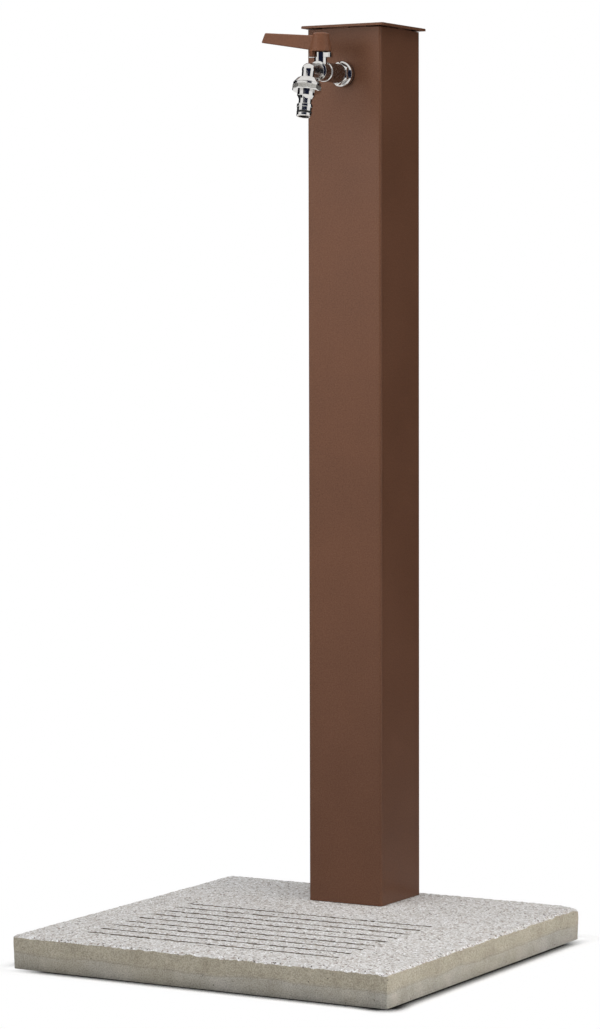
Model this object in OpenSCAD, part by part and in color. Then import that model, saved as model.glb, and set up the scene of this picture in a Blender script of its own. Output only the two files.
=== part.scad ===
// Garden tap fountain: a square steel column on a washed-gravel slab, with a lever ball tap.
// Lengths are in millimetres. +Z is up and the tap faces -Y.
// The origin is the middle of the slab's underside.

/* [Slab] */
// Side of the square slab
slab_side = 500; // [460:10:700]
// Thickness of the slab
slab_t = 40; // [32:1:60]
// Radius of the slab's upright corners
slab_corner_r = 8; // [5:1:20]
// Width and height of the worn edge round the top
slab_arris = 3; // [1:0.5:6]

/* [Drain slots] */
// Number of slots
slot_count = 9; // [3:1:9]
// Length of a slot
slot_l = 340; // [200:10:360]
// Width of a slot
slot_w = 6; // [5:0.5:9]
// Distance from one slot to the next
slot_pitch = 28.2; // [20:0.2:29]
// Distance from the slab's front edge to the first slot
slot_front = 61; // [45:1:70]

/* [Column] */
// Outside width of the square column
column_w = 102; // [92:1:120]
// Thickness of the column's sheet
column_wall = 2; // [1.5:0.5:3]
// Inside radius of the column's bends
column_bend_r = 1; // [0.5:0.5:3]
// Height of the column above the slab
column_h = 1075; // [700:5:1300]
// Distance from the column's back to the slab's back edge
column_back = 17; // [17:1:40]
// Place of the column to the right of the slab's middle
column_x = -14; // [-30:1:30]

/* [Cap] */
// How far the cap stands out from the column
cap_over = 6; // [3:0.5:12]
// Thickness of the cap plate
cap_t = 3; // [2:0.5:6]
// Air gap between the column's rim and the cap plate
cap_gap = 1.4; // [0.8:0.2:3]
// Depth of the cap's tabs inside the column
cap_tab_h = 18; // [10:1:30]
// Width of a cap tab
cap_tab_w = 60; // [40:1:70]
// Thickness of a cap tab
cap_tab_t = 1.5; // [1:0.5:3]
// Width of the shoulder by which a tab rests on the rim
cap_shoulder_w = 12; // [8:1:30]

/* [Tap body] */
// Distance from the column's top down to the tap's axis
tap_drop = 56; // [50:1:200]
// Thickness of the rubber gasket behind the tap's flange
gasket_t = 2; // [1:0.5:3]
// Radius of that gasket
gasket_r = 15; // [13:0.5:15]
// Radius of the tap's flange
flange_r = 15.4; // [15.2:0.1:18]
// Thickness of the tap's flange
flange_t = 7.5; // [5:0.5:9]
// Width across the flats of the tap's hexagon
hex_af = 24.5; // [24:0.5:26]
// Length of the tap's hexagon
hex_l = 6.5; // [4:0.1:8]
// Radius of the round neck between hexagon and valve
neck_r = 11.7; // [11.4:0.1:12]
// Length of that neck
neck_l = 31.8; // [22:0.2:40]
// Radius of the two raised rings round the valve chamber
bead_r = 12.1; // [12:0.1:13]
// Width of such a ring
bead_w = 2; // [1.5:0.1:3]
// Outside radius of the valve chamber
chamber_r = 11.25; // [11.2:0.05:11.9]
// Length of the valve chamber
chamber_l = 14.2; // [14:0.2:17]
// Radius of the spout tube beside the chamber
spout_r = 9.2; // [8.8:0.1:10]
// Length of the spout tube, to the middle of its bend
spout_l = 20.8; // [18:0.2:35]
// Radius of the rounded bend of the spout
bend_r = 8.1; // [8:0.1:8.6]
// Radius of the tube that comes down from the bend
drop_tube_r = 7.7; // [7.4:0.1:7.9]
// Tilt of the outlet away from the column, in degrees
outlet_tilt = 12; // [0:1:20]
// Radius of the waterway through the tap
water_r = 5; // [4:0.2:5.4]

/* [Valve] */
// Radius of the ball
ball_r = 8.2; // [7.8:0.1:8.3]
// Width of the slot across the top of the ball
ball_slot_w = 3.2; // [2.6:0.2:4]
// Depth of that slot
ball_slot_depth = 2.1; // [1.6:0.1:2.4]
// Radius of the seat rings
seat_r = 8.6; // [8.5:0.05:8.8]
// Distance from the ball's middle to the far side of a seat ring
seat_reach = 8.6; // [8.2:0.1:9]
// Radius of the stem in its bore
stem_r = 4; // [3.4:0.1:4.4]
// Radius of the collar that holds the stem in
stem_collar_r = 5.4; // [5.2:0.1:6]
// Thickness of that collar
stem_collar_t = 2.6; // [2:0.1:3.2]
// Outside radius of the neck round the stem
stem_neck_r = 8; // [7.4:0.1:8.4]
// Height of that neck above the tap's axis
stem_neck_h = 23; // [21:0.5:25]
// Outer radius of the two stops on the neck
stop_r = 14.7; // [12.5:0.1:15]
// Height of a stop
stop_h = 5.8; // [3:0.2:6.5]
// Distance from a stop's top down from the neck's top
stop_drop = 0.8; // [0.4:0.1:2]
// Angle that a stop takes up, in degrees
stop_angle = 40; // [20:1:50]

/* [Lever] */
// Angle that the lever turns from closed to open, in degrees
lever_travel = 90; // [60:1:90]
// Height of the lever's hub
hub_h = 22.6; // [20:0.2:28]
// Radius of the hub at its foot
hub_foot_r = 13.4; // [12.5:0.1:15]
// Radius of the hub at its top
hub_top_r = 9.9; // [9:0.1:11]
// Outer radius of the skirt tab below the hub
skirt_r = 14.2; // [13.5:0.1:15.5]
// Height of the skirt tab
skirt_h = 6.2; // [3:0.2:7]
// Length of the lever from the stem's axis to its lower tip
lever_l = 80; // [60:1:120]
// Width of the lever at the stem's axis
arm_root_w = 15.5; // [12:0.5:17]
// Width of the lever at its tip
arm_tip_w = 12; // [9:0.5:15]
// Height of the lever at the stem's axis
arm_root_h = 18.8; // [14:0.2:20]
// Height of the lever at its tip
arm_tip_h = 11.8; // [8:0.2:15]
// How far the lever's top rises from the stem's axis to its tip
arm_rise = 6.4; // [0:0.2:12]
// How far the upper tip lies behind the lower tip
arm_slant = 5.2; // [1:0.2:8]
// Thickness of the lever's walls round its hollow underside
arm_wall = 2.4; // [1.8:0.1:3]

/* [Outlet] */
// Distance from the bend's middle to the top of the cone over the nut
outlet_cone_s = 10.6; // [9.5:0.1:14]
// Radius of that cone at its top
outlet_cone_top_r = 12; // [10:0.1:13]
// Radius of that cone at its foot
outlet_cone_foot_r = 16.8; // [14:0.1:17]
// Height of that cone
outlet_cone_h = 7; // [5:0.1:9]
// Width across the flats of the ten-sided union nut
union_af = 34.4; // [33:0.2:38]
// Height of the union nut
union_h = 8.9; // [8.4:0.1:12]
// Height of the sloped edge at the nut's foot
union_slope_h = 1.7; // [1:0.1:2]
// Turn of the nut about the outlet, in degrees
union_turn = 5; // [0:1:35]
// Radius of the spout's thread inside the nut
outlet_thread_r = 13.1; // [12.6:0.1:13.4]
// Thickness of the nut's inner lip
union_lip_t = 1.8; // [1.5:0.1:2.2]
// Thickness of the head by which the nut holds the spigot
spigot_head_t = 1.6; // [1.4:0.1:1.8]
// Thickness of the flat gasket in the nut
outlet_gasket_t = 1.3; // [1:0.1:1.6]
// Radius of the spigot's collar below the nut
spigot_collar_r = 10.6; // [9.8:0.1:11]
// Radius of the groove for the coupling's catches
spigot_groove_r = 8.1; // [7.6:0.1:8.4]
// Radius of the shoulder below that groove
spigot_shoulder_r = 9.7; // [9.4:0.1:9.9]
// Radius of the spigot's sealing land
spigot_r = 9.1; // [8.8:0.1:9.3]
// Length of the collar below the nut
spigot_collar_l = 6.7; // [5:0.1:12]
// Length of the slope from collar to groove
spigot_slope_l = 3.4; // [3:0.1:6]
// Length of the groove
spigot_groove_l = 6.2; // [5:0.1:9]
// Length of the shoulder
spigot_shoulder_l = 4.1; // [2:0.1:5]
// Length of the waist between shoulder and ring
spigot_waist_l = 4.5; // [3:0.1:9]
// Length of the land below the ring
spigot_land_l = 3.9; // [3:0.1:6]
// Radius of the bore through the spigot
spigot_bore_r = 5.2; // [4.6:0.2:5.4]
// Thickness of the black ring on the spigot
o_ring_t = 2.4; // [2:0.1:2.6]

/* [Water pipe] */
// Outside radius of the pipe inside the column
pipe_r = 7.5; // [6:0.5:7.5]
// Wall of that pipe
pipe_wall = 1; // [0.7:0.1:1.5]
// Radius of the threaded tails
tail_r = 10.4; // [10:0.1:10.6]
// Outside radius of an elbow's socket
socket_r = 13.5; // [13:0.1:14.5]
// Height of the inlet above the slab
inlet_h = 70; // [60:1:200]
// Radius of the inlet's outer thread
inlet_thread_r = 13.2; // [12:0.1:14]
// Length of the inlet's outer thread
inlet_thread_l = 11; // [9:0.5:11]
// Width across the flats of the inlet's hexagon
inlet_af = 30; // [29:0.5:34]
// Thickness of the inlet's hexagon
inlet_hex_t = 4; // [3:0.5:4.5]
// Width across the flats of the back nuts
back_nut_af = 27; // [26:0.5:30]
// Thickness of a back nut
back_nut_t = 6; // [4:0.5:8]
// Thickness of a lock washer
lock_washer_t = 1.5; // [1:0.1:2]
// Width across the flats of the pipe nuts
pipe_nut_af = 24; // [23:0.5:28]
// Height of a pipe nut
pipe_nut_h = 14; // [12:0.5:18]

/* [Foot] */
// Thickness of the plate inside the column's foot
foot_plate_t = 6; // [4:0.5:10]
// Radius of the round opening in that plate
foot_opening_r = 16; // [10:1:20]
// Distance from the column's middle to a bolt, along each side
bolt_place = 34; // [30:0.5:36]
// Radius of the foot bolts
bolt_r = 4; // [3:0.5:5]
// Width across the flats of bolt heads and nuts
bolt_af = 13; // [12:0.5:15]
// Height of a bolt's head
bolt_head_h = 5.3; // [4:0.1:7]
// Height of a nut
bolt_nut_h = 6.5; // [5:0.1:8]
// Thickness of a washer
washer_t = 1.6; // [1:0.1:2.5]
// Radius of a washer
washer_r = 8.2; // [7.8:0.1:9]
// Depth of the recess for a bolt's head beneath the slab
recess_depth = 12; // [11:0.5:14]
// Radius of that recess
recess_r = 11; // [10:0.5:14]

/* [Fits] */
// Gap between the stem and its bore, on the radius
stem_gap = 0.06; // [0.03:0.01:0.09]
// Gap between the ball and its seats
seat_gap = 0.15; // [0.1:0.01:0.2]
// Gap between pieces that are screwed or pushed together, on the radius
screw_gap = 0.05; // [0.02:0.01:0.1]
// Gap between the lever and what it turns over
lever_gap = 0.5; // [0.3:0.1:0.8]
// Gap between a fastener or tail and the hole that it passes through, on the radius
hole_gap = 0.5; // [0.3:0.1:1]
// Gap between the column's inside and what slides into it
slide_gap = 0.3; // [0.2:0.1:0.5]

/* [Hidden] */
$fn = 64;

// Overrun of every cut past the face that it opens
cut = 1;

// Widths of the broken edges
edge = 0.8;
fine_edge = 0.4;

// Finishes
stone = "#a9a7a0";
rust = "#6b4230";
rust_light = "#7d5340";
chrome = "#c9ccd1";
brass = "#b8975a";
steel = "#9a9ea3";
rubber = "#1c1c1c";
seat_white = "#ecebe4";
copper = "#b46f49";

// Places of the column
column_y = slab_side / 2 - column_back - column_w / 2;
front_y = column_y - column_w / 2;
back_y = column_y + column_w / 2;
column_top = slab_t + column_h;
column_inside = column_w - 2 * column_wall;
slot_first_y = slot_front - slab_side / 2;

// Places along the tap's axis, out from the column's front
flange_d = gasket_t;
hex_d = flange_d + flange_t;
neck_d = hex_d + hex_l;
bead_d = neck_d + neck_l;
chamber_d = bead_d + bead_w;
bead_out_d = chamber_d + chamber_l;
spout_d = bead_out_d + bead_w;
bend_d = spout_d + spout_l;
stem_d = chamber_d + chamber_l / 2;
tap_z = column_top - tap_drop;
bead_flat_share = 0.4;
flange_chamfer = 1.6;
spout_end_r = drop_tube_r + (bend_r - drop_tube_r) / 2;

// Tail of the tap and of the inlet, inward from the column's faces
tail_grip = 13;
lock_washer_d = column_wall;
back_nut_d = lock_washer_d + lock_washer_t;
socket_d = back_nut_d + back_nut_t + slide_gap;
tail_l = socket_d + tail_grip;
lock_washer_r = 15;

// Inside of the valve
seat_front_share = 0.5;
seat_front = seat_reach * seat_front_share;
nose_wall = 1;
nose_r = seat_r + nose_wall;
nose_end_d = stem_d - stem_collar_r - slide_gap;
stem_tongue_z = ball_r - ball_slot_depth + seat_gap;
stem_collar_z = seat_r + seat_gap;
stem_pocket_z = stem_collar_z + stem_collar_t + seat_gap;
stem_tongue_w = ball_slot_w - 2 * seat_gap;
stem_ring_t = 1.6;
stem_ring_places_share = [0.25, 0.6];
stem_bore_l = stem_neck_h - stem_pocket_z;

// Lever
hub_z = stem_neck_h + lever_gap;
hub_top_z = hub_z + hub_h;
hub_rim = 1.2;
hub_wall = 2.4;
hub_recess_r = hub_top_r - hub_wall;
hub_recess_h = 6;
screw_head_r = 4.4;
screw_head_h = 3.2;
screw_r = 2.5;
screw_web_t = 3;
screw_web_z = hub_top_z - hub_recess_h - screw_web_t;
stem_top_z = screw_web_z - slide_gap;
stem_flat_share = 0.75;
stem_flat = stem_flat_share * stem_r;
screw_grip = 7.5;
screw_tip_z = stem_top_z - screw_grip;
screw_slot_w = 1.2;
stop_top_z = stem_neck_h - stop_drop;
stop_play = asin(lever_gap / stop_r);
skirt_angle = 180 - stop_angle - lever_travel - 2 * stop_play;
skirt_start = 180 + stop_angle / 2 + stop_play;
skirt_inner_r = stem_neck_r + lever_gap;
arm_lift = 0.2;
arm_foot_z = hub_z + arm_lift;
arm_top_z = arm_foot_z + arm_root_h;
arm_round = 1.4;

// Outlet
outlet_cone_foot_s = outlet_cone_s + outlet_cone_h;
union_s = outlet_cone_foot_s + seat_gap;
union_end_s = union_s + union_h;
outlet_lip_s = union_end_s - union_lip_t;
spigot_head_s = outlet_lip_s - spigot_head_t;
outlet_end_s = spigot_head_s - outlet_gasket_t;
outlet_water_r = water_r + fine_edge;
union_sides = 10;
union_corner_r = union_af / 2 / cos(180 / union_sides);
union_foot_r = union_af / 2 - union_slope_h;
spigot_head_r = outlet_thread_r - fine_edge;
spigot_slope_s = union_end_s + spigot_collar_l;
spigot_groove_s = spigot_slope_s + spigot_slope_l;
spigot_shoulder_s = spigot_groove_s + spigot_groove_l;
spigot_waist_s = spigot_shoulder_s + spigot_shoulder_l;
spigot_ring_s = spigot_waist_s + spigot_waist_l;
spigot_land_s = spigot_ring_s + o_ring_t + 2 * screw_gap;
spigot_end_s = spigot_land_s + spigot_land_l;
ring_stand = 0.25;
ring_middle_r = spigot_r + ring_stand - o_ring_t / 2;

// Water pipe
inlet_z = slab_t + inlet_h;
socket_l = column_w / 2 - socket_d;
pipe_socket_wall = 3;
pipe_socket_r = pipe_r + pipe_socket_wall;
pipe_stop = 11;
pipe_socket_l = 24;
pipe_thread_l = 8;
olive_t = 5;
olive_stand = 1.6;
olive_r = pipe_r + olive_stand;
pipe_nut_lip = 3;
inlet_gasket_t = 1.5;
inlet_out = inlet_gasket_t + inlet_hex_t + inlet_thread_l;
pipe_top_z = tap_z - pipe_stop;
pipe_foot_z = inlet_z + pipe_stop;

// Foot bolts
bolt_slope = 1;
bolt_over = 2;

// Round-cornered square in the plane
module rounded_square(side, corner_r) {
    square([side, side - 2 * corner_r], center = true);
    square([side - 2 * corner_r, side], center = true);
    for (sx = [-1, 1], sy = [-1, 1])
        translate([sx, sy] * (side / 2 - corner_r)) circle(r = corner_r);
}

// Slot outline with round ends, along X
module stadium(length, width) {
    square([length - width, width], center = true);
    for (side = [-1, 1])
        translate([side * (length - width) / 2, 0]) circle(r = width / 2);
}

// Straight prism with flats, whose ends slope in to a smaller radius
module sloped_nut(flats, height, sides, end_r, slope_h) {
    corner_r = flats / 2 / cos(180 / sides);
    intersection() {
        cylinder(r = corner_r, h = height, $fn = sides);
        rotate_extrude()
            polygon([
                [0, 0], [end_r, 0], [corner_r, slope_h],
                [corner_r, height - slope_h], [end_r, height], [0, height]
            ]);
    }
}

// Plain ring and sector, along +Z
module ring(outer_r, inner_r, height) {
    difference() {
        cylinder(r = outer_r, h = height);
        translate([0, 0, -cut]) cylinder(r = inner_r, h = height + 2 * cut);
    }
}

module sector(outer_r, start_angle, span, height) {
    reach = outer_r / cos(span / 4);
    intersection() {
        cylinder(r = outer_r, h = height);
        linear_extrude(height)
            polygon([
                [0, 0],
                for (turn = [0 : span / 2 : span])
                    reach * [cos(start_angle + turn), sin(start_angle + turn)]
            ]);
    }
}

// Frames: +Z out of the column's front, +Z up the stem, +Z down the outlet and +Z out of the column's back
module at_tap() {
    translate([column_x, front_y, tap_z]) rotate([90, 0, 0]) children();
}

module at_stem() {
    translate([column_x, front_y - stem_d, tap_z]) children();
}

module at_outlet() {
    translate([column_x, front_y - bend_d, tap_z]) rotate([180 - outlet_tilt, 0, 0]) children();
}

module at_inlet() {
    translate([column_x, back_y, inlet_z]) rotate([-90, 0, 0]) children();
}

module at_bolts() {
    for (sx = [-1, 1], sy = [-1, 1])
        translate([column_x + sx * bolt_place, column_y + sy * bolt_place, 0]) children();
}

// Slab with its drain slots and the recesses for the foot bolts
module base_slab() {
    color(stone)
    difference() {
        hull() {
            linear_extrude(slab_t - slab_arris)
                rounded_square(slab_side, slab_corner_r, $fn = 32);
            linear_extrude(slab_t)
                rounded_square(slab_side - 2 * slab_arris, slab_corner_r, $fn = 32);
        }
        for (row = [0 : slot_count - 1])
            translate([column_x, slot_first_y + row * slot_pitch, -cut])
                linear_extrude(slab_t + 2 * cut) stadium(slot_l, slot_w);
        at_bolts() {
            translate([0, 0, -cut]) cylinder(r = bolt_r + hole_gap, h = slab_t + 2 * cut);
            translate([0, 0, -cut]) cylinder(r = recess_r, h = recess_depth + cut);
        }
    }
}

// Foot plate with its bolts, washers and nuts
module foot_plate() {
    plate_w = column_inside - 2 * slide_gap;
    color(steel)
    difference() {
        translate([column_x, column_y, slab_t])
            linear_extrude(foot_plate_t) rounded_square(plate_w, column_bend_r);
        translate([column_x, column_y, slab_t - cut])
            cylinder(r = foot_opening_r, h = foot_plate_t + 2 * cut);
        at_bolts()
            translate([0, 0, slab_t - cut])
                cylinder(r = bolt_r + hole_gap, h = foot_plate_t + 2 * cut);
    }
}

module foot_bolts() {
    head_z = recess_depth - washer_t - bolt_head_h;
    tip_z = slab_t + foot_plate_t + bolt_nut_h + bolt_over;
    color(steel)
    at_bolts() {
        translate([0, 0, head_z])
            sloped_nut(bolt_af, bolt_head_h, 6, bolt_af / 2, bolt_slope);
        translate([0, 0, head_z]) cylinder(r = bolt_r, h = tip_z - head_z);
    }
}

module foot_washers() {
    color(steel)
    at_bolts()
        translate([0, 0, recess_depth - washer_t])
            ring(washer_r, bolt_r + screw_gap, washer_t);
}

module foot_nuts() {
    color(steel)
    at_bolts()
        translate([0, 0, slab_t + foot_plate_t])
            difference() {
                sloped_nut(bolt_af, bolt_nut_h, 6, bolt_af / 2, bolt_slope);
                translate([0, 0, -cut]) cylinder(r = bolt_r + screw_gap, h = bolt_nut_h + 2 * cut);
            }
}

// Square column of bent sheet, with the holes for the tap and the inlet
module column_tube() {
    color(rust)
    difference() {
        translate([column_x, column_y, slab_t])
            linear_extrude(column_h)
                difference() {
                    rounded_square(column_w, column_bend_r + column_wall);
                    rounded_square(column_inside, column_bend_r);
                }
        at_tap()
            translate([0, 0, -column_wall - cut])
                cylinder(r = tail_r + hole_gap, h = column_wall + 2 * cut);
        at_inlet()
            translate([0, 0, -column_wall - cut])
                cylinder(r = tail_r + hole_gap, h = column_wall + 2 * cut);
    }
}

// Cap plate on four tabs, whose shoulders rest on the column's rim
module column_cap() {
    plate_w = column_w + 2 * cap_over;
    tab_out = column_inside / 2 - slide_gap;
    color(rust)
    translate([column_x, column_y, column_top]) {
        translate([0, 0, cap_gap]) {
            linear_extrude(cap_t - edge) rounded_square(plate_w, column_wall);
            linear_extrude(cap_t) rounded_square(plate_w - edge, column_wall);
        }
        for (turn = [0 : 90 : 270])
            rotate([0, 0, turn]) {
                translate([-cap_tab_w / 2, tab_out - cap_tab_t, -cap_tab_h])
                    cube([cap_tab_w, cap_tab_t, cap_tab_h + cap_gap]);
                translate([-cap_shoulder_w / 2, tab_out - cap_tab_t, 0])
                    cube([cap_shoulder_w, column_wall + slide_gap + cap_tab_t, cap_gap]);
            }
    }
}

// Tap: gasket, inlet body and what clamps it to the column
module tap_gasket() {
    color(rubber) at_tap() ring(gasket_r, tail_r + screw_gap, gasket_t);
}

module tap_inlet_body() {
    color(chrome)
    at_tap()
    difference() {
        union() {
            rotate_extrude()
                polygon([
                    [0, -tail_l], [tail_r - edge, -tail_l], [tail_r, edge - tail_l],
                    [tail_r, flange_d], [flange_r - fine_edge, flange_d],
                    [flange_r, flange_d + fine_edge], [flange_r, hex_d - flange_chamfer],
                    [flange_r - flange_chamfer, hex_d], [neck_r, hex_d], [neck_r, bead_d],
                    [nose_r, bead_d], [nose_r, nose_end_d], [0, nose_end_d]
                ]);
            translate([0, 0, hex_d - edge])
                sloped_nut(hex_af, hex_l + edge, 6, hex_af / 2, edge);
        }
        translate([0, 0, -tail_l - cut])
            cylinder(r = water_r, h = tail_l + nose_end_d + 2 * cut);
        translate([0, 0, stem_d - seat_reach])
            cylinder(r = seat_r + screw_gap, h = seat_reach);
    }
}

module tap_lock_washer() {
    color(steel)
    at_tap()
        translate([0, 0, -lock_washer_d - lock_washer_t])
            ring(lock_washer_r, tail_r + screw_gap, lock_washer_t);
}

module back_nut() {
    difference() {
        sloped_nut(back_nut_af, back_nut_t, 6, back_nut_af / 2, edge);
        translate([0, 0, -cut]) cylinder(r = tail_r + screw_gap, h = back_nut_t + 2 * cut);
    }
}

module tap_back_nut() {
    color(brass) at_tap() translate([0, 0, -back_nut_d - back_nut_t]) back_nut();
}

// Valve housing: chamber, stem neck with its two stops, and the spout
module valve_body() {
    flat = bead_w * bead_flat_share;
    rise = (bead_w - flat) / 2;
    color(chrome)
    difference() {
        union() {
            at_tap() {
                rotate_extrude()
                    polygon([
                        [0, bead_d], [chamber_r, bead_d], [bead_r, bead_d + rise],
                        [bead_r, bead_d + rise + flat], [chamber_r, chamber_d],
                        [chamber_r, bead_out_d], [bead_r, bead_out_d + rise],
                        [bead_r, bead_out_d + rise + flat], [spout_r, spout_d],
                        [spout_end_r, bend_d], [0, bend_d]
                    ]);
                translate([0, 0, bend_d]) sphere(r = bend_r);
            }
            at_stem() cylinder(r = stem_neck_r, h = stem_neck_h);
            at_stem()
                for (side = [0, 180])
                    translate([0, 0, stop_top_z - stop_h])
                        sector(stop_r, side - stop_angle / 2, stop_angle, stop_h);
            at_outlet()
                rotate_extrude()
                    polygon([
                        [0, 0], [drop_tube_r, 0], [drop_tube_r, outlet_cone_s - fine_edge],
                        [outlet_cone_top_r - edge, outlet_cone_s],
                        [outlet_cone_top_r, outlet_cone_s + fine_edge],
                        [outlet_cone_foot_r, outlet_cone_foot_s - edge],
                        [outlet_cone_foot_r, outlet_cone_foot_s],
                        [outlet_thread_r, outlet_cone_foot_s], [outlet_thread_r, outlet_end_s],
                        [0, outlet_end_s]
                    ]);
        }
        at_tap() {
            translate([0, 0, bead_d - cut])
                cylinder(r = nose_r + screw_gap, h = nose_end_d - bead_d + cut);
            translate([0, 0, bead_d - cut])
                cylinder(r = seat_r + screw_gap, h = stem_d + seat_reach - bead_d + cut);
            translate([0, 0, bead_d - cut]) cylinder(r = water_r, h = bend_d - bead_d + cut);
        }
        at_outlet()
            translate([0, 0, -water_r / 2])
                cylinder(r = outlet_water_r, h = outlet_end_s + water_r / 2 + cut);
        at_stem() {
            cylinder(r = stem_collar_r + seat_gap, h = stem_pocket_z);
            cylinder(r = stem_r + stem_gap, h = stem_neck_h + cut);
        }
    }
}

// Seat rings, hollowed to the ball
module seat_ring(toward_ball) {
    color(seat_white)
    at_tap()
    difference() {
        translate([0, 0, toward_ball > 0 ? stem_d - seat_reach : stem_d + seat_front])
            cylinder(r = seat_r, h = seat_reach - seat_front);
        translate([0, 0, stem_d - seat_reach - cut])
            cylinder(r = water_r, h = 2 * (seat_reach + cut));
        translate([0, 0, stem_d]) sphere(r = ball_r + seat_gap);
    }
}

module seat_ring_inlet() {
    seat_ring(1);
}

module seat_ring_outlet() {
    seat_ring(-1);
}

// Ball with its bore across the flow, as when the tap is closed
module ball() {
    color(chrome)
    at_stem()
    difference() {
        sphere(r = ball_r);
        rotate([0, 90, 0]) cylinder(r = water_r, h = 2 * (ball_r + cut), center = true);
        translate([-ball_r - cut, -ball_slot_w / 2, ball_r - ball_slot_depth])
            cube([2 * (ball_r + cut), ball_slot_w, ball_slot_depth + cut]);
    }
}

// Stem: tongue in the ball's slot, collar under the neck, two ring grooves and flats for the lever
module stem() {
    tongue_l = 2 * stem_r;
    core_r = stem_r - stem_ring_t - screw_gap;
    color(brass)
    at_stem()
    difference() {
        union() {
            translate([-tongue_l / 2, -stem_tongue_w / 2, stem_tongue_z])
                cube([tongue_l, stem_tongue_w, stem_collar_z - stem_tongue_z]);
            translate([0, 0, stem_collar_z]) cylinder(r = stem_collar_r, h = stem_collar_t);
            translate([0, 0, stem_collar_z]) cylinder(r = stem_r, h = stem_top_z - stem_collar_z);
        }
        for (share = stem_ring_places_share)
            translate([0, 0, stem_pocket_z + share * stem_bore_l - screw_gap])
                ring(stem_r + cut, core_r, stem_ring_t + 2 * screw_gap);
        for (side = [-1, 1])
            translate([-stem_r - cut, side > 0 ? stem_flat : -stem_r - cut, hub_z])
                cube([2 * (stem_r + cut), stem_r + cut - stem_flat, stem_top_z - hub_z + cut]);
        translate([0, 0, screw_tip_z - screw_r])
            cylinder(r = screw_r + screw_gap, h = stem_top_z - screw_tip_z + screw_r + cut);
    }
}

module stem_o_rings() {
    color(rubber)
    at_stem()
        for (share = stem_ring_places_share)
            translate([0, 0, stem_pocket_z + share * stem_bore_l + stem_ring_t / 2])
                rotate_extrude()
                    translate([stem_r - stem_ring_t / 2, 0]) circle(r = stem_ring_t / 2);
}

// Lever: hub over the stem, skirt tab between the stops and a hollow arm towards -X
module arm_side(inset, foot) {
    offset(r = arm_round) offset(delta = -arm_round - inset)
        polygon([
            [0, arm_foot_z - foot], [-lever_l, arm_top_z + arm_rise - arm_tip_h - foot],
            [arm_slant - lever_l, arm_top_z + arm_rise], [0, arm_top_z]
        ]);
}

module arm_plan(inset, root_x) {
    root = arm_root_w / 2 - inset;
    tip = arm_tip_w / 2 - inset;
    polygon([[-root_x, root], [inset - lever_l, tip], [inset - lever_l, -tip], [-root_x, -root]]);
}

module arm() {
    difference() {
        intersection() {
            rotate([90, 0, 0]) linear_extrude(arm_root_w, center = true) arm_side(0, 0);
            translate([0, 0, hub_z]) linear_extrude(hub_h + arm_rise + cut) arm_plan(0, 0);
        }
        intersection() {
            rotate([90, 0, 0])
                linear_extrude(arm_root_w, center = true) arm_side(arm_wall, arm_root_h / 2);
            translate([0, 0, hub_z - cut]) linear_extrude(hub_h + arm_rise) arm_plan(arm_wall, hub_foot_r);
        }
    }
}

module lever() {
    color(rust_light)
    at_stem()
    difference() {
        union() {
            translate([0, 0, hub_z])
                rotate_extrude()
                    polygon([
                        [0, 0], [hub_foot_r - fine_edge, 0], [hub_foot_r, fine_edge],
                        for (turn = [0 : 30 : 90])
                            [hub_top_r, hub_h] + hub_rim * [cos(turn) - 1, sin(turn) - 1],
                        [0, hub_h]
                    ]);
            translate([0, 0, hub_z - skirt_h])
                difference() {
                    sector(skirt_r, skirt_start, skirt_angle, skirt_h + hub_rim);
                    translate([0, 0, -cut]) cylinder(r = skirt_inner_r, h = skirt_h + cut);
                }
            arm();
        }
        intersection() {
            translate([0, 0, hub_z - cut])
                cylinder(r = stem_r + screw_gap, h = stem_top_z - hub_z + slide_gap + cut);
            translate([-stem_r - cut, -stem_flat - screw_gap, hub_z - cut])
                cube([2 * (stem_r + cut), 2 * (stem_flat + screw_gap), stem_top_z]);
        }
        translate([0, 0, hub_z]) cylinder(r = screw_r + screw_gap, h = hub_h + cut);
        translate([0, 0, hub_top_z - hub_recess_h])
            cylinder(r = hub_recess_r, h = hub_recess_h + arm_rise + cut);
    }
}

module lever_screw() {
    color(steel)
    at_stem()
    difference() {
        rotate_extrude()
            polygon([
                [0, screw_tip_z], [screw_r - edge, screw_tip_z], [screw_r, screw_tip_z + edge],
                [screw_r, hub_top_z - hub_recess_h], [screw_head_r, hub_top_z - hub_recess_h],
                [screw_head_r, hub_top_z - hub_recess_h + screw_head_h - edge],
                [screw_head_r - edge, hub_top_z - hub_recess_h + screw_head_h],
                [0, hub_top_z - hub_recess_h + screw_head_h]
            ]);
        for (turn = [0, 90])
            translate([0, 0, hub_top_z - hub_recess_h + screw_head_h - screw_slot_w])
                rotate([0, 0, turn])
                    translate([-screw_r, -screw_slot_w / 2, 0])
                        cube([2 * screw_r, screw_slot_w, screw_slot_w + cut]);
    }
}

// Outlet: gasket, union nut and the spigot for a push-on hose coupling
module outlet_gasket() {
    color(rubber)
    at_outlet() translate([0, 0, outlet_end_s]) ring(spigot_head_r, water_r + edge, outlet_gasket_t);
}

module union_nut() {
    color(chrome)
    at_outlet()
    difference() {
        translate([0, 0, union_s]) rotate([0, 0, union_turn])
            intersection() {
                cylinder(r = union_corner_r, h = union_h, $fn = union_sides);
                rotate_extrude()
                    polygon([
                        [0, 0], [union_af / 2, 0], [union_af / 2 + edge, edge],
                        [union_af / 2 + edge, union_h - union_slope_h - edge],
                        [union_foot_r, union_h], [0, union_h]
                    ]);
            }
        translate([0, 0, union_s - cut])
            cylinder(r = outlet_thread_r + screw_gap, h = outlet_lip_s - union_s + cut);
        translate([0, 0, union_s]) cylinder(r = spigot_collar_r + screw_gap, h = union_h + cut);
    }
}

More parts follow.
